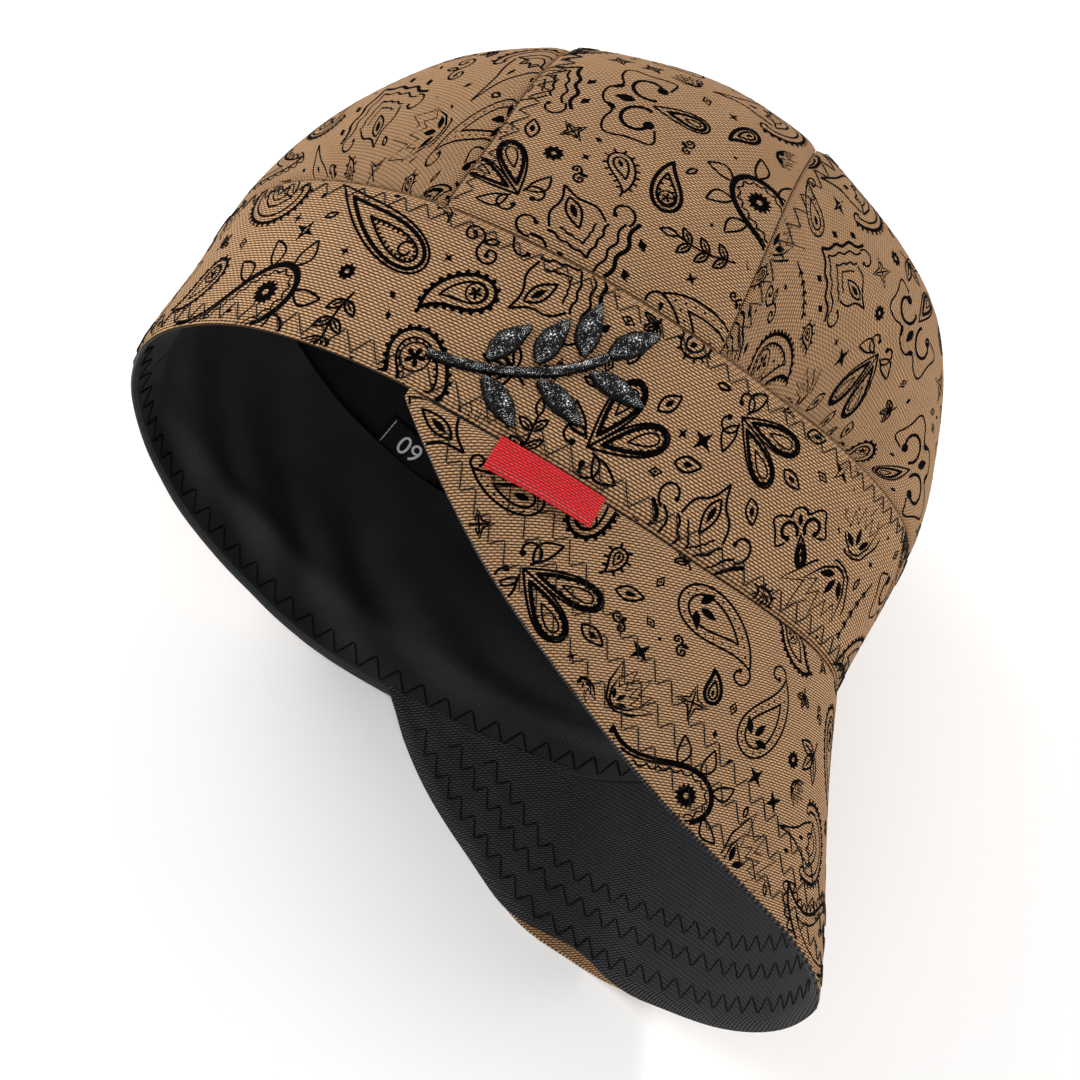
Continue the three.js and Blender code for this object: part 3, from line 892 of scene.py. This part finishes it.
satin("satin_stem", sprig["stem"], lambda share: sprig["stemWidth"] + 0 * share, ["motif_stem"])
leafTurn = math.radians(sprig["leafTurn"])
number = 1
for pair in range(sprig["pairs"]):
    foot, heading = curve(sprig["stem"], sprig["first"] + pair * sprig["step"])
    for side in (-1, 1):
        ahead = heading * np.exp(1j * side * leafTurn)
        satinLeaf(number, foot + ahead * (sprig["stemWidth"] / 2 + 0.9) / math.sin(leafTurn), ahead)
        number += 1
tipFoot, tipHeading = curve(sprig["stem"], 1.0)
satinLeaf(number, tipFoot + tipHeading * 0.4, tipHeading)

# A plain number woven into the size label. It reads from inside the cap, with its top towards the rim.
numerals = {"text": "60", "height": 6.2, "across": 0.42, "lift": 0.12}
data = bpy.data.curves.new("numerals", "FONT")
data.body = numerals["text"]
data.size = numerals["height"] * 1.35
data.align_x, data.align_y = "CENTER", "CENTER"
bm = bmesh.new()
bm.from_mesh(curveToMesh("numerals", data))
bmesh.ops.triangulate(bm, faces=bm.faces)
bmesh.ops.subdivide_edges(bm, edges=[e for e in bm.edges if e.calc_length() > 1.2], cuts=2)
spots = np.array([v.co[:2] for v in bm.verts])
onLabel = labelPlace(numerals["across"] - spots[:, 0] / trim["labelWidth"], 0.5 - spots[:, 1] / trim["labelRise"],
                     trim["labelWall"] + numerals["lift"])
for vert, spot in zip(bm.verts, (onLabel + origin) * mm):
    vert.co = spot
bm.normal_update()
if sum((insidePoint - face.calc_center_median()).dot(face.normal) for face in bm.faces) < 0:
    bmesh.ops.reverse_faces(bm, faces=bm.faces)
asPiece(toMesh("label_number", bm), numeralThread)
print("embroidery and label number made")

# The printed pattern: each motif is drawn once as flat line work, in millimetres, then stamped on the cloth
pen = {"plain": 0.7, "Bold": 1.15, "Fine": 0.55, "stepLength": 0.7}


def even(points, closed, step=pen["stepLength"]):
    loop = np.append(points, points[:1]) if closed else np.asarray(points)
    way = running(np.abs(np.diff(loop)))
    count = max(int(way[-1] / step), 4)
    marks = np.linspace(0, way[-1], count + 1)
    spaced = np.interp(marks, way, loop.real) + 1j * np.interp(marks, way, loop.imag)
    return spaced[:-1] if closed else spaced


def outOf(fine):
    ahead = np.roll(fine, -1) - np.roll(fine, 1)
    out = ahead / np.abs(ahead) * -1j
    return -out if np.sum((fine * np.conj(np.roll(fine, -1))).imag) > 0 else out


# A count of places along a closed outline, with the directions that point out of it
def along(points, count):
    fine = even(points, True, 0.2)
    picks = (np.arange(count) / count * len(fine)).astype(int)
    return fine[picks], outOf(fine)[picks]


def circle(centre, radius, count=14):
    return centre + radius * np.exp(2j * math.pi * np.arange(count) / count)


def arc(centre, radius, fromAngle, toAngle, growth=1.0, count=26):
    share = np.linspace(0, 1, count)
    return centre + radius * growth ** share * np.exp(1j * mix(fromAngle, toAngle, share))


def rounded(points):
    for _ in range(2):
        a, b = points[:-1], points[1:]
        inner = np.stack([0.75 * a + 0.25 * b, 0.25 * a + 0.75 * b], 1).ravel()
        points = np.concatenate([points[:1], inner, points[-1:]])
    return points


def drop(length, width):
    turn = np.arange(90) / 90 * 2 * math.pi
    x = width * 0.62 * np.sin(turn) * np.abs(np.sin(turn / 2)) ** 1.25
    return x + 1j * (length / 2 * np.cos(turn) + length / 2 - width / 2)


# The same drop with its tip at the start, shrunk towards the middle of its round end
def bud(length, width, scale):
    return np.conj(drop(length, width)) * scale + 1j * (length - width / 2)


# Bends a drawing round more and more towards its top, as the tip of a paisley does
def curled(points, length, curl):
    rise = np.linspace(0, length * 1.2, 200)
    angle = curl * (rise / length) ** 1.8
    spine = running(np.exp(1j * (math.pi / 2 - angle[:-1])) * np.diff(rise))
    up = np.clip(points.imag, 0, None)
    lean = np.interp(up, rise, angle)
    foot = np.interp(up, rise, spine.real) + 1j * np.interp(up, rise, spine.imag)
    return foot + 1j * np.minimum(points.imag, 0) + points.real * np.exp(-1j * lean)


def scalloped(points, count, size):
    fine = even(points, True, 0.35)
    return fine + outOf(fine) * size * np.abs(np.sin(math.pi * count * np.arange(len(fine)) / len(fine))) ** 0.7


def petals(count, inner, outer, sharp):
    angle = np.arange(count * 12) / (count * 12) * 2 * math.pi
    return (inner + (outer - inner) * np.abs(np.cos(angle * count / 2)) ** sharp) * np.exp(1j * angle)


def pointed(count, inner, outer):
    angle = np.arange(count * 2) / count * math.pi
    return np.where(np.arange(count * 2) % 2 == 0, outer, inner) * np.exp(1j * angle)


def leafShape(length, width, bend=0.0):
    share = np.linspace(0, 1, 14)
    side = width / 2 * np.sin(math.pi * share ** 0.85)
    spine = 1j * length * share + bend * np.sin(math.pi * share)
    return np.concatenate([spine + side, (spine - side)[-2:0:-1]])


def turnedBy(points, degrees, at=0):
    return points * np.exp(1j * math.radians(degrees)) + at


# Every motif is a list of (kind, points): closed or open lines of three widths, and solid shapes
def dots(places, radius):
    return [("solid", circle(p, radius, 8)) for p in places]


def rays(places, out, length):
    return [("open", np.array([p, p + o * length / 2, p + o * length])) for p, o in zip(places, out)]


def both(kind, points):
    return [(kind, points), (kind, -np.conj(points))]


def ball(kind, line, radius):
    return both(kind, line) + both("solid", circle(line[-1], radius, 10))


# A toothed black flower with a bare centre
def toothed(radius, teeth):
    return [("solid", pointed(teeth, radius * 0.72, radius)), ("solid", circle(0, radius * 0.24, 10))]


# Leaves that point away from the broad side of a drop
def leaves(outline, length):
    marks, out = along(outline, 120)
    leaf = leafShape(length, length / 2, 0.12 * length)
    return [("closed", leaf * out[pick] / 1j + marks[pick]) for pick in (30, 40, 49, 60, 69, 80, 90)]


def hearts(kind, width):
    r = width / 2
    if kind == "rose":
        return toothed(r * 0.42, 13)
    if kind == "star":
        return [("solid", petals(5, r * 0.1, r * 0.36, 1.1)), ("closedFine", circle(0, r * 0.5, 20))]
    if kind == "sprig":
        leaf = leafShape(r * 0.7, r * 0.3) + 0.18j * r
        return [("solid", turnedBy(leaf, angle, -0.35j * r)) for angle in (-62, 0, 62)]
    if kind == "swirl":
        return [("open", arc(0, r * 0.42, 0, 5.4, 0.35, 20))]
    return [("solid", leafShape(r * 0.8, r * 0.36) - 0.3j * r)]


# A paisley: a bent drop of several nested lines, with an edge outside, a trim inside and a heart
def paisley(length, width, curl, edge, inside, heart, lines, kinds=("closedBold", "closed", "closedFine")):
    def ring(scale):
        return curled(drop(length, width) * scale, length, curl)

    outer = ring(1)
    drawn = [(kind, ring(scale)) for scale, kind in zip(lines, kinds)] + hearts(heart, width)
    count = round(length * 0.95)
    marks, out = along(outer, count)
    if edge == "lace":
        drawn.append(("closed", scalloped(outer, round(length * 0.62), length * 0.052)))
    if edge == "beads":
        drawn += dots(marks + out * 0.7, 0.72)
    if edge == "ticks":
        drawn += rays(marks, out, 1.5)
    if edge == "leaves":
        drawn += leaves(outer, length * 0.2)
    if edge == "tail":
        tip = outer[0]
        hook = arc(0, length * 0.12, 2.6, -2.6, 0.45, 24)
        drawn += [("open", hook - hook[0] + tip), ("solid", circle(hook[-1] - hook[0] + tip, length * 0.025, 8))]
    between = (lines[0] + lines[1]) / 2 if inside == "seeds" else lines[-1]
    trimmed, inwards = along(ring(between), round(count * 0.72))
    if inside == "seeds":
        drawn += dots(trimmed, 0.34)
    if inside == "lace":
        drawn.append(("closedFine", scalloped(ring(lines[-1] * 0.94), round(length * 0.5), -length * 0.035)))
    if inside == "comb":
        drawn += rays(trimmed, -inwards, 1.1)
    return drawn


# A crest: two beaded buds, three pointed leaves over them, and scrolls and leaves at the foot
def crest(size):
    drawn = []
    for angle in (-21, 21):
        for scale, kind in ((1, "closed"), (0.78, "closedBold"), (0.4, "closedFine")):
            drawn.append((kind, turnedBy(bud(size * 0.72, size * 0.3, scale), angle)))
        beads, out = along(turnedBy(bud(size * 0.72, size * 0.3, 0.78), angle), 15)
        drawn += rays(beads, -out, size * 0.03)
    for angle in (-36, 0, 36):
        leaf = leafShape(size * 0.26, size * 0.13) + (0.78 if angle else 0.68) * 1j * size
        core = (leaf - leaf.mean()) * 0.4 + leaf.mean()
        drawn += [("closed", turnedBy(leaf, angle)), ("solid", turnedBy(core, angle))]
    drawn += ball("open", arc(size * 0.15 - 0.06j * size, size * 0.12, 2.4, -2.6, 0.5, 18), size * 0.03)
    return drawn + both("closed", turnedBy(leafShape(size * 0.3, size * 0.14, 1), -76, 0.02j * size + 0.1 * size))


# Two scrolls that end in balls, with a hanging drop between them and a pointed frame over them
def fleur(size):
    drawn = ball("openBold", arc(size * 0.25 + 0.08j * size, size * 0.19, 3.7, -1.3, 0.62, 22), size * 0.055)
    for scale, kind in ((1, "closed"), (0.66, "closedBold"), (0.3, "closedFine")):
        drawn.append((kind, turnedBy(bud(size * 0.56, size * 0.25, scale), 180)))
    marks, out = along(turnedBy(bud(size * 0.56, size * 0.25, 0.66), 180), 16)
    drawn += dots(marks, size * 0.018)
    frame = rounded(np.array([0.46j, 0.12 + 0.44j, 0.2 + 0.3j, 0.36 + 0.38j, 0.56 + 0.34j, 0.5 + 0.1j, 0.54 - 0.16j,
                              0.32 - 0.1j]) * size)
    drawn += both("open", frame) + [("solid", leafShape(size * 0.2, size * 0.1) + 0.16j * size)]
    return drawn + both("solid", turnedBy(leafShape(size * 0.13, size * 0.06), 40, (0.2 + 0.3j) * size))


# A crescent cup with a toothed rim and a pointed flower inside
def cup(size):
    outer = arc(0, size * 0.5, math.pi - 0.35, 2 * math.pi + 0.35, 1, 40)
    inner = arc(0, size * 0.4, math.pi - 0.3, 2 * math.pi + 0.3, 1, 36)
    beads = arc(0, size * 0.54, math.pi - 0.3, 2 * math.pi + 0.3, 1, 20)
    drawn = [("openBold", outer), ("open", inner)] + dots(beads, 0.62)
    hook = arc(size * 0.4 + 0.14j * size, size * 0.09, -0.3, 3.6, 0.6, 14)
    drawn += ball("open", hook, size * 0.025)
    drawn += both("open", rounded(np.array([0.8j, 0.07 + 0.42j, 0.2 + 0.24j, 0.28 + 0.02j]) * size))
    for scale in (1, 0.6):
        half = np.array([-0.26j, 0.14 - 0.2j, 0.3 - 0.02j, 0.14 - 0.03j, 0.1 + 0.1j, 0.02j]) * size * scale
        drawn += both("open" if scale == 1 else "openFine", half)
    return drawn + [("solid", leafShape(size * 0.13, size * 0.06) + 0.2j * size)]


# Nested pointed arches with diamonds, as on the corner of a kerchief
def arches(size):
    drawn = []
    for scale, kind in ((1, "openBold"), (0.78, "open"), (0.5, "open"), (0.3, "openFine")):
        half = np.array([0.8j, 0.1 + 0.62j, 0.26 + 0.56j, 0.3 + 0.4j, 0.48 + 0.34j, 0.5 + 0.16j,
                         0.66 + 0.06j]) * size
        drawn += both(kind, rounded(half * scale))
    for at in (0.36 + 0.62j, 0.62 + 0.3j):
        drawn += both("solid", np.array([0.08j, 0.05, -0.08j, -0.05]) * size + at * size)
    drawn += ball("open", arc((0.5 - 0.08j) * size, size * 0.16, 1.4, -3.2, 0.5, 22), size * 0.03)
    drawn += both("open", rounded(np.array([0.3, 0.26 - 0.2j, 0.08 - 0.3j, -0.52j]) * size))
    return drawn + [("closed", leafShape(size * 0.4, size * 0.16) - 0.34j * size),
                    ("solid", leafShape(size * 0.2, size * 0.07) - 0.26j * size)]


def lily(size):
    half = np.array([0, 0.16 + 0.03j, 0.4 + 0.26j, 0.6 + 0.7j, 0.34 + 0.5j, 0.3 + 0.84j, 0.13 + 0.6j, 1j])
    drawn = []
    for scale, kind in ((1, "closed"), (0.62, "closed")):
        shape = (half * scale + 0.14j * (1 - scale)) * size
        drawn.append((kind, np.concatenate([shape, (-shape.conj())[-2:0:-1]])))
    return drawn + [("solid", turnedBy(leafShape(size * 0.24, size * 0.09) + 0.07j * size, angle, 0.1j * size))
                    for angle in (-52, 0, 52)]


def medallion(size):
    return [("closed", scalloped(circle(0, size * 0.42, 80), 14, size * 0.07)),
            ("closedFine", circle(0, size * 0.42, 50)),
            ("closed", scalloped(circle(0, size * 0.26, 60), 10, size * 0.05)),
            ("solid", pointed(4, size * 0.07, size * 0.2)),
            ("solid", circle(0, size * 0.03, 8))] + dots(along(circle(0, size * 0.35, 40), 14)[0], 0.34)


def star(size):
    return [("closed", pointed(4, size * 0.17, size * 0.5)), ("solid", pointed(4, size * 0.05, size * 0.24)),
            ("openFine", np.array([-0.34, 0, 0.34]) * size), ("openFine", np.array([-0.34j, 0, 0.34j]) * size)]


def fern(size):
    stem = 1j * np.linspace(0, 1, 12) * size + 0.06 * size * np.sin(np.linspace(0, 3, 12))
    return [("open", stem)] + [("solid", turnedBy(leafShape(size * 0.13, size * 0.042), s * 34, stem[i]))
                               for i in range(2, 12, 2) for s in (-1, 1)]


def sprigOf(size):
    stem = 1j * np.linspace(0, 1, 14) * size + 0.1 * size * np.sin(np.linspace(0, 3, 14))
    drawn = [("open", stem), ("closed", leafShape(size * 0.3, size * 0.13) + stem[-1])]
    for foot in stem[2:12:4]:
        for angle in (-52, 52):
            vein = turnedBy(1j * np.linspace(0.05, 0.2, 4) * size, angle, foot)
            drawn += [("closed", turnedBy(leafShape(size * 0.3, size * 0.13), angle, foot)), ("openFine", vein)]
    return drawn


def scroll(size):
    bend = np.concatenate([arc(-0.2 * size, size * 0.05, 7.6, 0.6, 4.6, 30),
                           arc(0.24 * size + 0.04j * size, size * 0.21, -2.5, 5.0, 0.24, 30)])
    return [("open", bend), ("solid", circle(bend[0], size * 0.045, 8)),
            ("solid", circle(bend[-1], size * 0.045, 8)),
            ("closed", turnedBy(leafShape(size * 0.26, size * 0.1), -30, -0.1 * size - 0.26j * size))]


def trio(size):
    drawn = []
    for angle in (-58, 0, 58):
        drawn += [("closed", turnedBy(leafShape(size * 0.6, size * 0.26), angle)),
                  ("open", turnedBy(1j * np.linspace(0.1, 0.42, 5) * size, angle))]
    return drawn + [("open", rounded(np.array([0, -0.12j + 0.03, -0.3j + 0.12]) * size))]


def diamond(size, kind):
    shape = np.array([0.5j, 0.3, -0.5j, -0.3]) * size
    return [(kind, shape)] + ([("solid", shape * 0.4)] if kind == "closed" else [])


motifs = {
    "large": [paisley(54, 21, 3.1, "lace", "seeds", "rose", (1, 0.76)),
              paisley(43, 19, 2.3, "leaves", "lace", "rose", (1, 0.9)), crest(30), fleur(30), arches(24),
              paisley(34, 17, 1.7, "beads", "comb", "star", (1, 0.68)), cup(23),
              paisley(37, 14, 0.5, "", "comb", "swirl", (1, 0.8, 0.5), ("closed", "closedBold", "closed")),
              paisley(30, 16, 1.4, "tail", "seeds", "sprig", (1, 0.62), ("closed", "closed")), lily(23)],
    "middle": [paisley(22, 11, 1.9, "beads", "", "star", (1, 0.6)), cup(15), crest(18), fern(20), star(11),
               paisley(19, 10, 1.0, "tail", "seeds", "leaf", (1, 0.56), ("closed", "closed")), lily(14),
               medallion(13), paisley(18, 9, 0.9, "", "comb", "star", (1, 0.66)), sprigOf(17), scroll(16),
               fleur(17), trio(14), paisley(16, 8, 1.3, "ticks", "", "leaf", (1, 0.55), ("closed", "closed"))],
    "small": [paisley(10, 5.6, 1.0, "", "", "leaf", (1, 0.55)), star(7.5), toothed(2.9, 9), lily(8),
              [("solid", pointed(4, 1.2, 3.8))], trio(8), paisley(9, 5, 1.2, "ticks", "", "leaf", (1, 0.5),
                                                              ("closed", "closedFine")), scroll(8)],
    "tiny": [diamond(3.6, "closed"), diamond(2.8, "solid"), [("solid", pointed(4, 0.6, 1.9))],
             [("solid", circle(0, 0.6, 10))], [("closed", leafShape(3.8, 1.6))], [("solid", leafShape(2.6, 1.1))]],
}
printing = {
    "steps": [("large", 2400, 2.1), ("middle", 3200, 2.0), ("small", 2200, 2.0), ("tiny", 700, 2.2)],
    "lift": 0.05, "size": (0.9, 1.06), "coverGrid": 1.6, "margin": 6,
    "sheets": [("band", 3, 1), ("middle", 5, 1.05), ("back", 7, 1.25), ("front", 11, 1.1), ("peak", 13, 1)],
}


def flatCurve(name, drawn, solid):
    data = bpy.data.curves.new(name, "CURVE")
    data.dimensions = "2D" if solid else "3D"
    data.twist_mode = "Z_UP"
    if solid:
        data.fill_mode = "BOTH"
    else:
        data.extrude = 0.5
    for kind, points in drawn:
        if (kind == "solid") != solid:
            continue
        closed = not kind.startswith("open")
        sharp = solid or len(points) < 17
        line = points if sharp and closed else even(np.asarray(points), closed)
        spline = data.splines.new("POLY")
        spline.points.add(len(line) - 1)
        spline.use_cyclic_u = closed
        width = pen.get(kind[-4:], pen["plain"])
        for spot, at in zip(spline.points, line):
            spot.co = (at.real, at.imag, 0, 1)
            spot.radius = width
            spot.tilt = 0 if solid else math.pi / 2
    return curveToMesh(name, data)


# A stamp is a motif's flat mesh, as drawn or mirrored, and loose dots over it that keep its neighbours away
def makeStamp(drawn, mirrored):
    bm = bmesh.new()
    for solid in (False, True):
        mesh = flatCurve("motif", drawn, solid)
        bm.from_mesh(mesh)
        bpy.data.meshes.remove(mesh)
    bmesh.ops.remove_doubles(bm, verts=bm.verts, dist=0.01)
    if mirrored:
        bmesh.ops.scale(bm, vec=(-1, 1, 1), verts=bm.verts)
    for face in bm.faces:
        face.normal_update()
    bmesh.ops.reverse_faces(bm, faces=[face for face in bm.faces if face.normal.z < 0])
    flat = np.array([v.co[:2] for v in bm.verts])
    middle = (flat.max(0) + flat.min(0)) / 2
    bmesh.ops.translate(bm, vec=(-middle[0], -middle[1], 0), verts=bm.verts)
    mesh = bpy.data.meshes.new("stamp")
    bm.to_mesh(mesh)
    bm.free()
    flat = (flat - middle) @ np.array([1, 1j])
    cover = np.unique(np.round(flat / printing["coverGrid"])) * printing["coverGrid"]
    return {"mesh": mesh, "cover": cover, "flat": flat, "reach": np.abs(flat).max()}


stamps = {size: [makeStamp(drawn, mirrored) for drawn in group for mirrored in (False, True)]
          for size, group in motifs.items()}
print("motifs drawn", sum(len(group) for group in stamps.values()))


# Prints a sheet while it is flat: each stamped point is carried to where that place of the cloth was sewn
def printCloth(name, sheet, seed, growth):
    cloth = bmesh.new()
    cloth.from_mesh(sheet.data)
    bmesh.ops.triangulate(cloth, faces=cloth.faces)
    uv = cloth.loops.layers.uv["cloth"]
    flat = np.array([[loop[uv].uv[:] for loop in face.loops] for face in cloth.faces]) / mm
    sewn = np.array([[loop.vert.co[:] for loop in face.loops] for face in cloth.faces])
    normals = np.array([[loop.vert.normal[:] for loop in face.loops] for face in cloth.faces])
    cloth.free()
    corners = np.concatenate([flat, np.zeros((*flat.shape[:2], 1))], -1).reshape(-1, 3)
    flatTree = BVHTree.FromPolygons(corners.tolist(), np.arange(len(corners)).reshape(-1, 3).tolist())
    low, high = corners.min(0)[:2], corners.max(0)[:2]
    rng = np.random.default_rng(seed)
    taken = np.empty(0, complex)
    placed = []
    for size, tries, clear in printing["steps"]:
        bag = []
        for _ in range(tries):
            bag = bag or list(rng.permutation(len(stamps[size])))
            stamp = stamps[size][bag[-1]]
            at = complex(*rng.uniform(low, high))
            heading = growth * np.exp(1j * rng.uniform(0, 2 * math.pi)) * rng.uniform(*printing["size"])
            near = taken[np.abs(taken - at) < stamp["reach"] + printing["margin"]]
            cover = stamp["cover"] * heading + at
            if len(near) and np.abs(near[:, None] - cover[None, :]).min() < clear:
                continue
            if flatTree.ray_cast((at.real, at.imag, 1), (0, 0, -1))[2] is None:
                continue
            bag.pop()
            taken = np.concatenate([taken, cover])
            placed.append((stamp, heading, at))
    ink = bmesh.new()
    for stamp, _, _ in placed:
        ink.from_mesh(stamp["mesh"])
    spots = np.concatenate([stamp["flat"] * heading + at for stamp, heading, at in placed])
    hits = [flatTree.ray_cast((spot.real, spot.imag, 1), (0, 0, -1))[2] for spot in spots]
    found = np.array([-1 if hit is None else hit for hit in hits])
    a, b, c = (flat[found, i] @ np.array([1, 1j]) for i in range(3))

    def area(p, q, r):
        return ((q - p).conj() * (r - p)).imag

    shares = np.stack([area(b, c, spots), area(c, a, spots), area(a, b, spots)], -1) / area(a, b, c)[:, None]
    normal = np.einsum("ij,ijk->ik", shares, normals[found])
    normal /= np.linalg.norm(normal, axis=1, keepdims=True)
    carried = np.einsum("ij,ijk->ik", shares, sewn[found]) + normal * printing["lift"] * mm
    carried[:, 2] = np.maximum(carried[:, 2], 0)
    inkUv = ink.loops.layers.uv.new("cloth")
    for face in ink.faces:
        face.smooth = True
        for loop in face.loops:
            spot = spots[loop.vert.index]
            loop[inkUv].uv = (spot.real * mm, spot.imag * mm)
    for vert, spot in zip(ink.verts, carried):
        vert.co = spot
    ink.normal_update()
    if sum(Vector(normal[face.verts[0].index]).dot(face.normal) for face in ink.faces) < 0:
        bmesh.ops.reverse_faces(ink, faces=ink.faces)
    bmesh.ops.delete(ink, geom=[vert for vert, hit in zip(ink.verts, hits) if hit is None], context="VERTS")
    piece = asPiece(toMesh(name, ink), printedDye)
    print(name, len(placed), "motifs", len(piece.data.polygons), "faces")


for name, seed, growth in printing["sheets"]:
    printCloth(name + "_print", shells[name], seed, growth)
print("print made")

# The camera stands where the photograph was taken from
view = {
    "right": (0.8884, 0.4388, 0.1354), "up": (-0.4438, 0.7447, 0.4985), "back": (0.1179, -0.5029, 0.8563),
    "target": (20, 60, 0), "distance": 1000, "focal": 3566.4, "targetPixel": (597.9, 408.5), "frame": 1080,
    "sensor": 36, "near": 0.05, "far": 20,
}
right, up, back = (Vector(view[key]).normalized() for key in ("right", "up", "back"))
target = Vector((np.array(view["target"]) + origin) * mm)
eye = target + back * view["distance"] * mm
half = view["frame"] / 2
aimX, aimY = half - view["targetPixel"][0], view["targetPixel"][1] - half
aim = (-back * view["focal"] + right * aimX + up * aimY).normalized()
newRight = aim.cross(up).normalized()
newUp = newRight.cross(aim)
cameraData = bpy.data.cameras.new("camera")
cameraData.sensor_width = view["sensor"]
cameraData.lens = view["focal"] / view["frame"] * view["sensor"]
cameraData.clip_start, cameraData.clip_end = view["near"], view["far"]
camera = bpy.data.objects.new("camera", cameraData)
turned = Matrix((newRight, newUp, -aim)).transposed().to_4x4()
camera.matrix_world = Matrix.Translation(eye) @ turned
scene.collection.objects.link(camera)
scene.camera = camera

# A plain pale floor under a pale sky, three wide soft lights, and a small one that draws the shadows
studio = {
    "floor": "#faf9f8", "floorReach": 3, "sky": "#f6f7f8", "skyPower": 0.5,
    "lights": {"left": ((-1.0, 0.1, 0.55), 1.1, 16.5), "right": ((1.05, 0.4, 0.05), 0.9, 12),
               "key": ((0.25, 0.6, 0.85), 0.15, 4.4), "front": ((0.4, -0.9, 0.65), 1.0, 4.8)},
}
floorPaper, tree = newMaterial("floorPaper")
surface(tree, {"Base Color": toLinear(studio["floor"]), "Roughness": 0.9})
bm = bmesh.new()
bmesh.ops.create_grid(bm, x_segments=1, y_segments=1, size=studio["floorReach"])
floor = toMesh("floor", bm)
floor.data.materials.append(floorPaper)

for name, (place, size, power) in studio["lights"].items():
    data = bpy.data.lights.new(name, "AREA")
    data.size = size
    data.energy = power
    lamp = bpy.data.objects.new(name, data)
    lamp.location = place
    lamp.rotation_euler = Vector(place).to_track_quat("Z", "Y").to_euler()
    scene.collection.objects.link(lamp)
world = bpy.data.worlds.new("studio")
scene.world = world
world.use_nodes = True
sky = world.node_tree.nodes["Background"]
sky.inputs["Color"].default_value = toLinear(studio["sky"])
sky.inputs["Strength"].default_value = studio["skyPower"]
scene.view_settings.view_transform = "Standard"
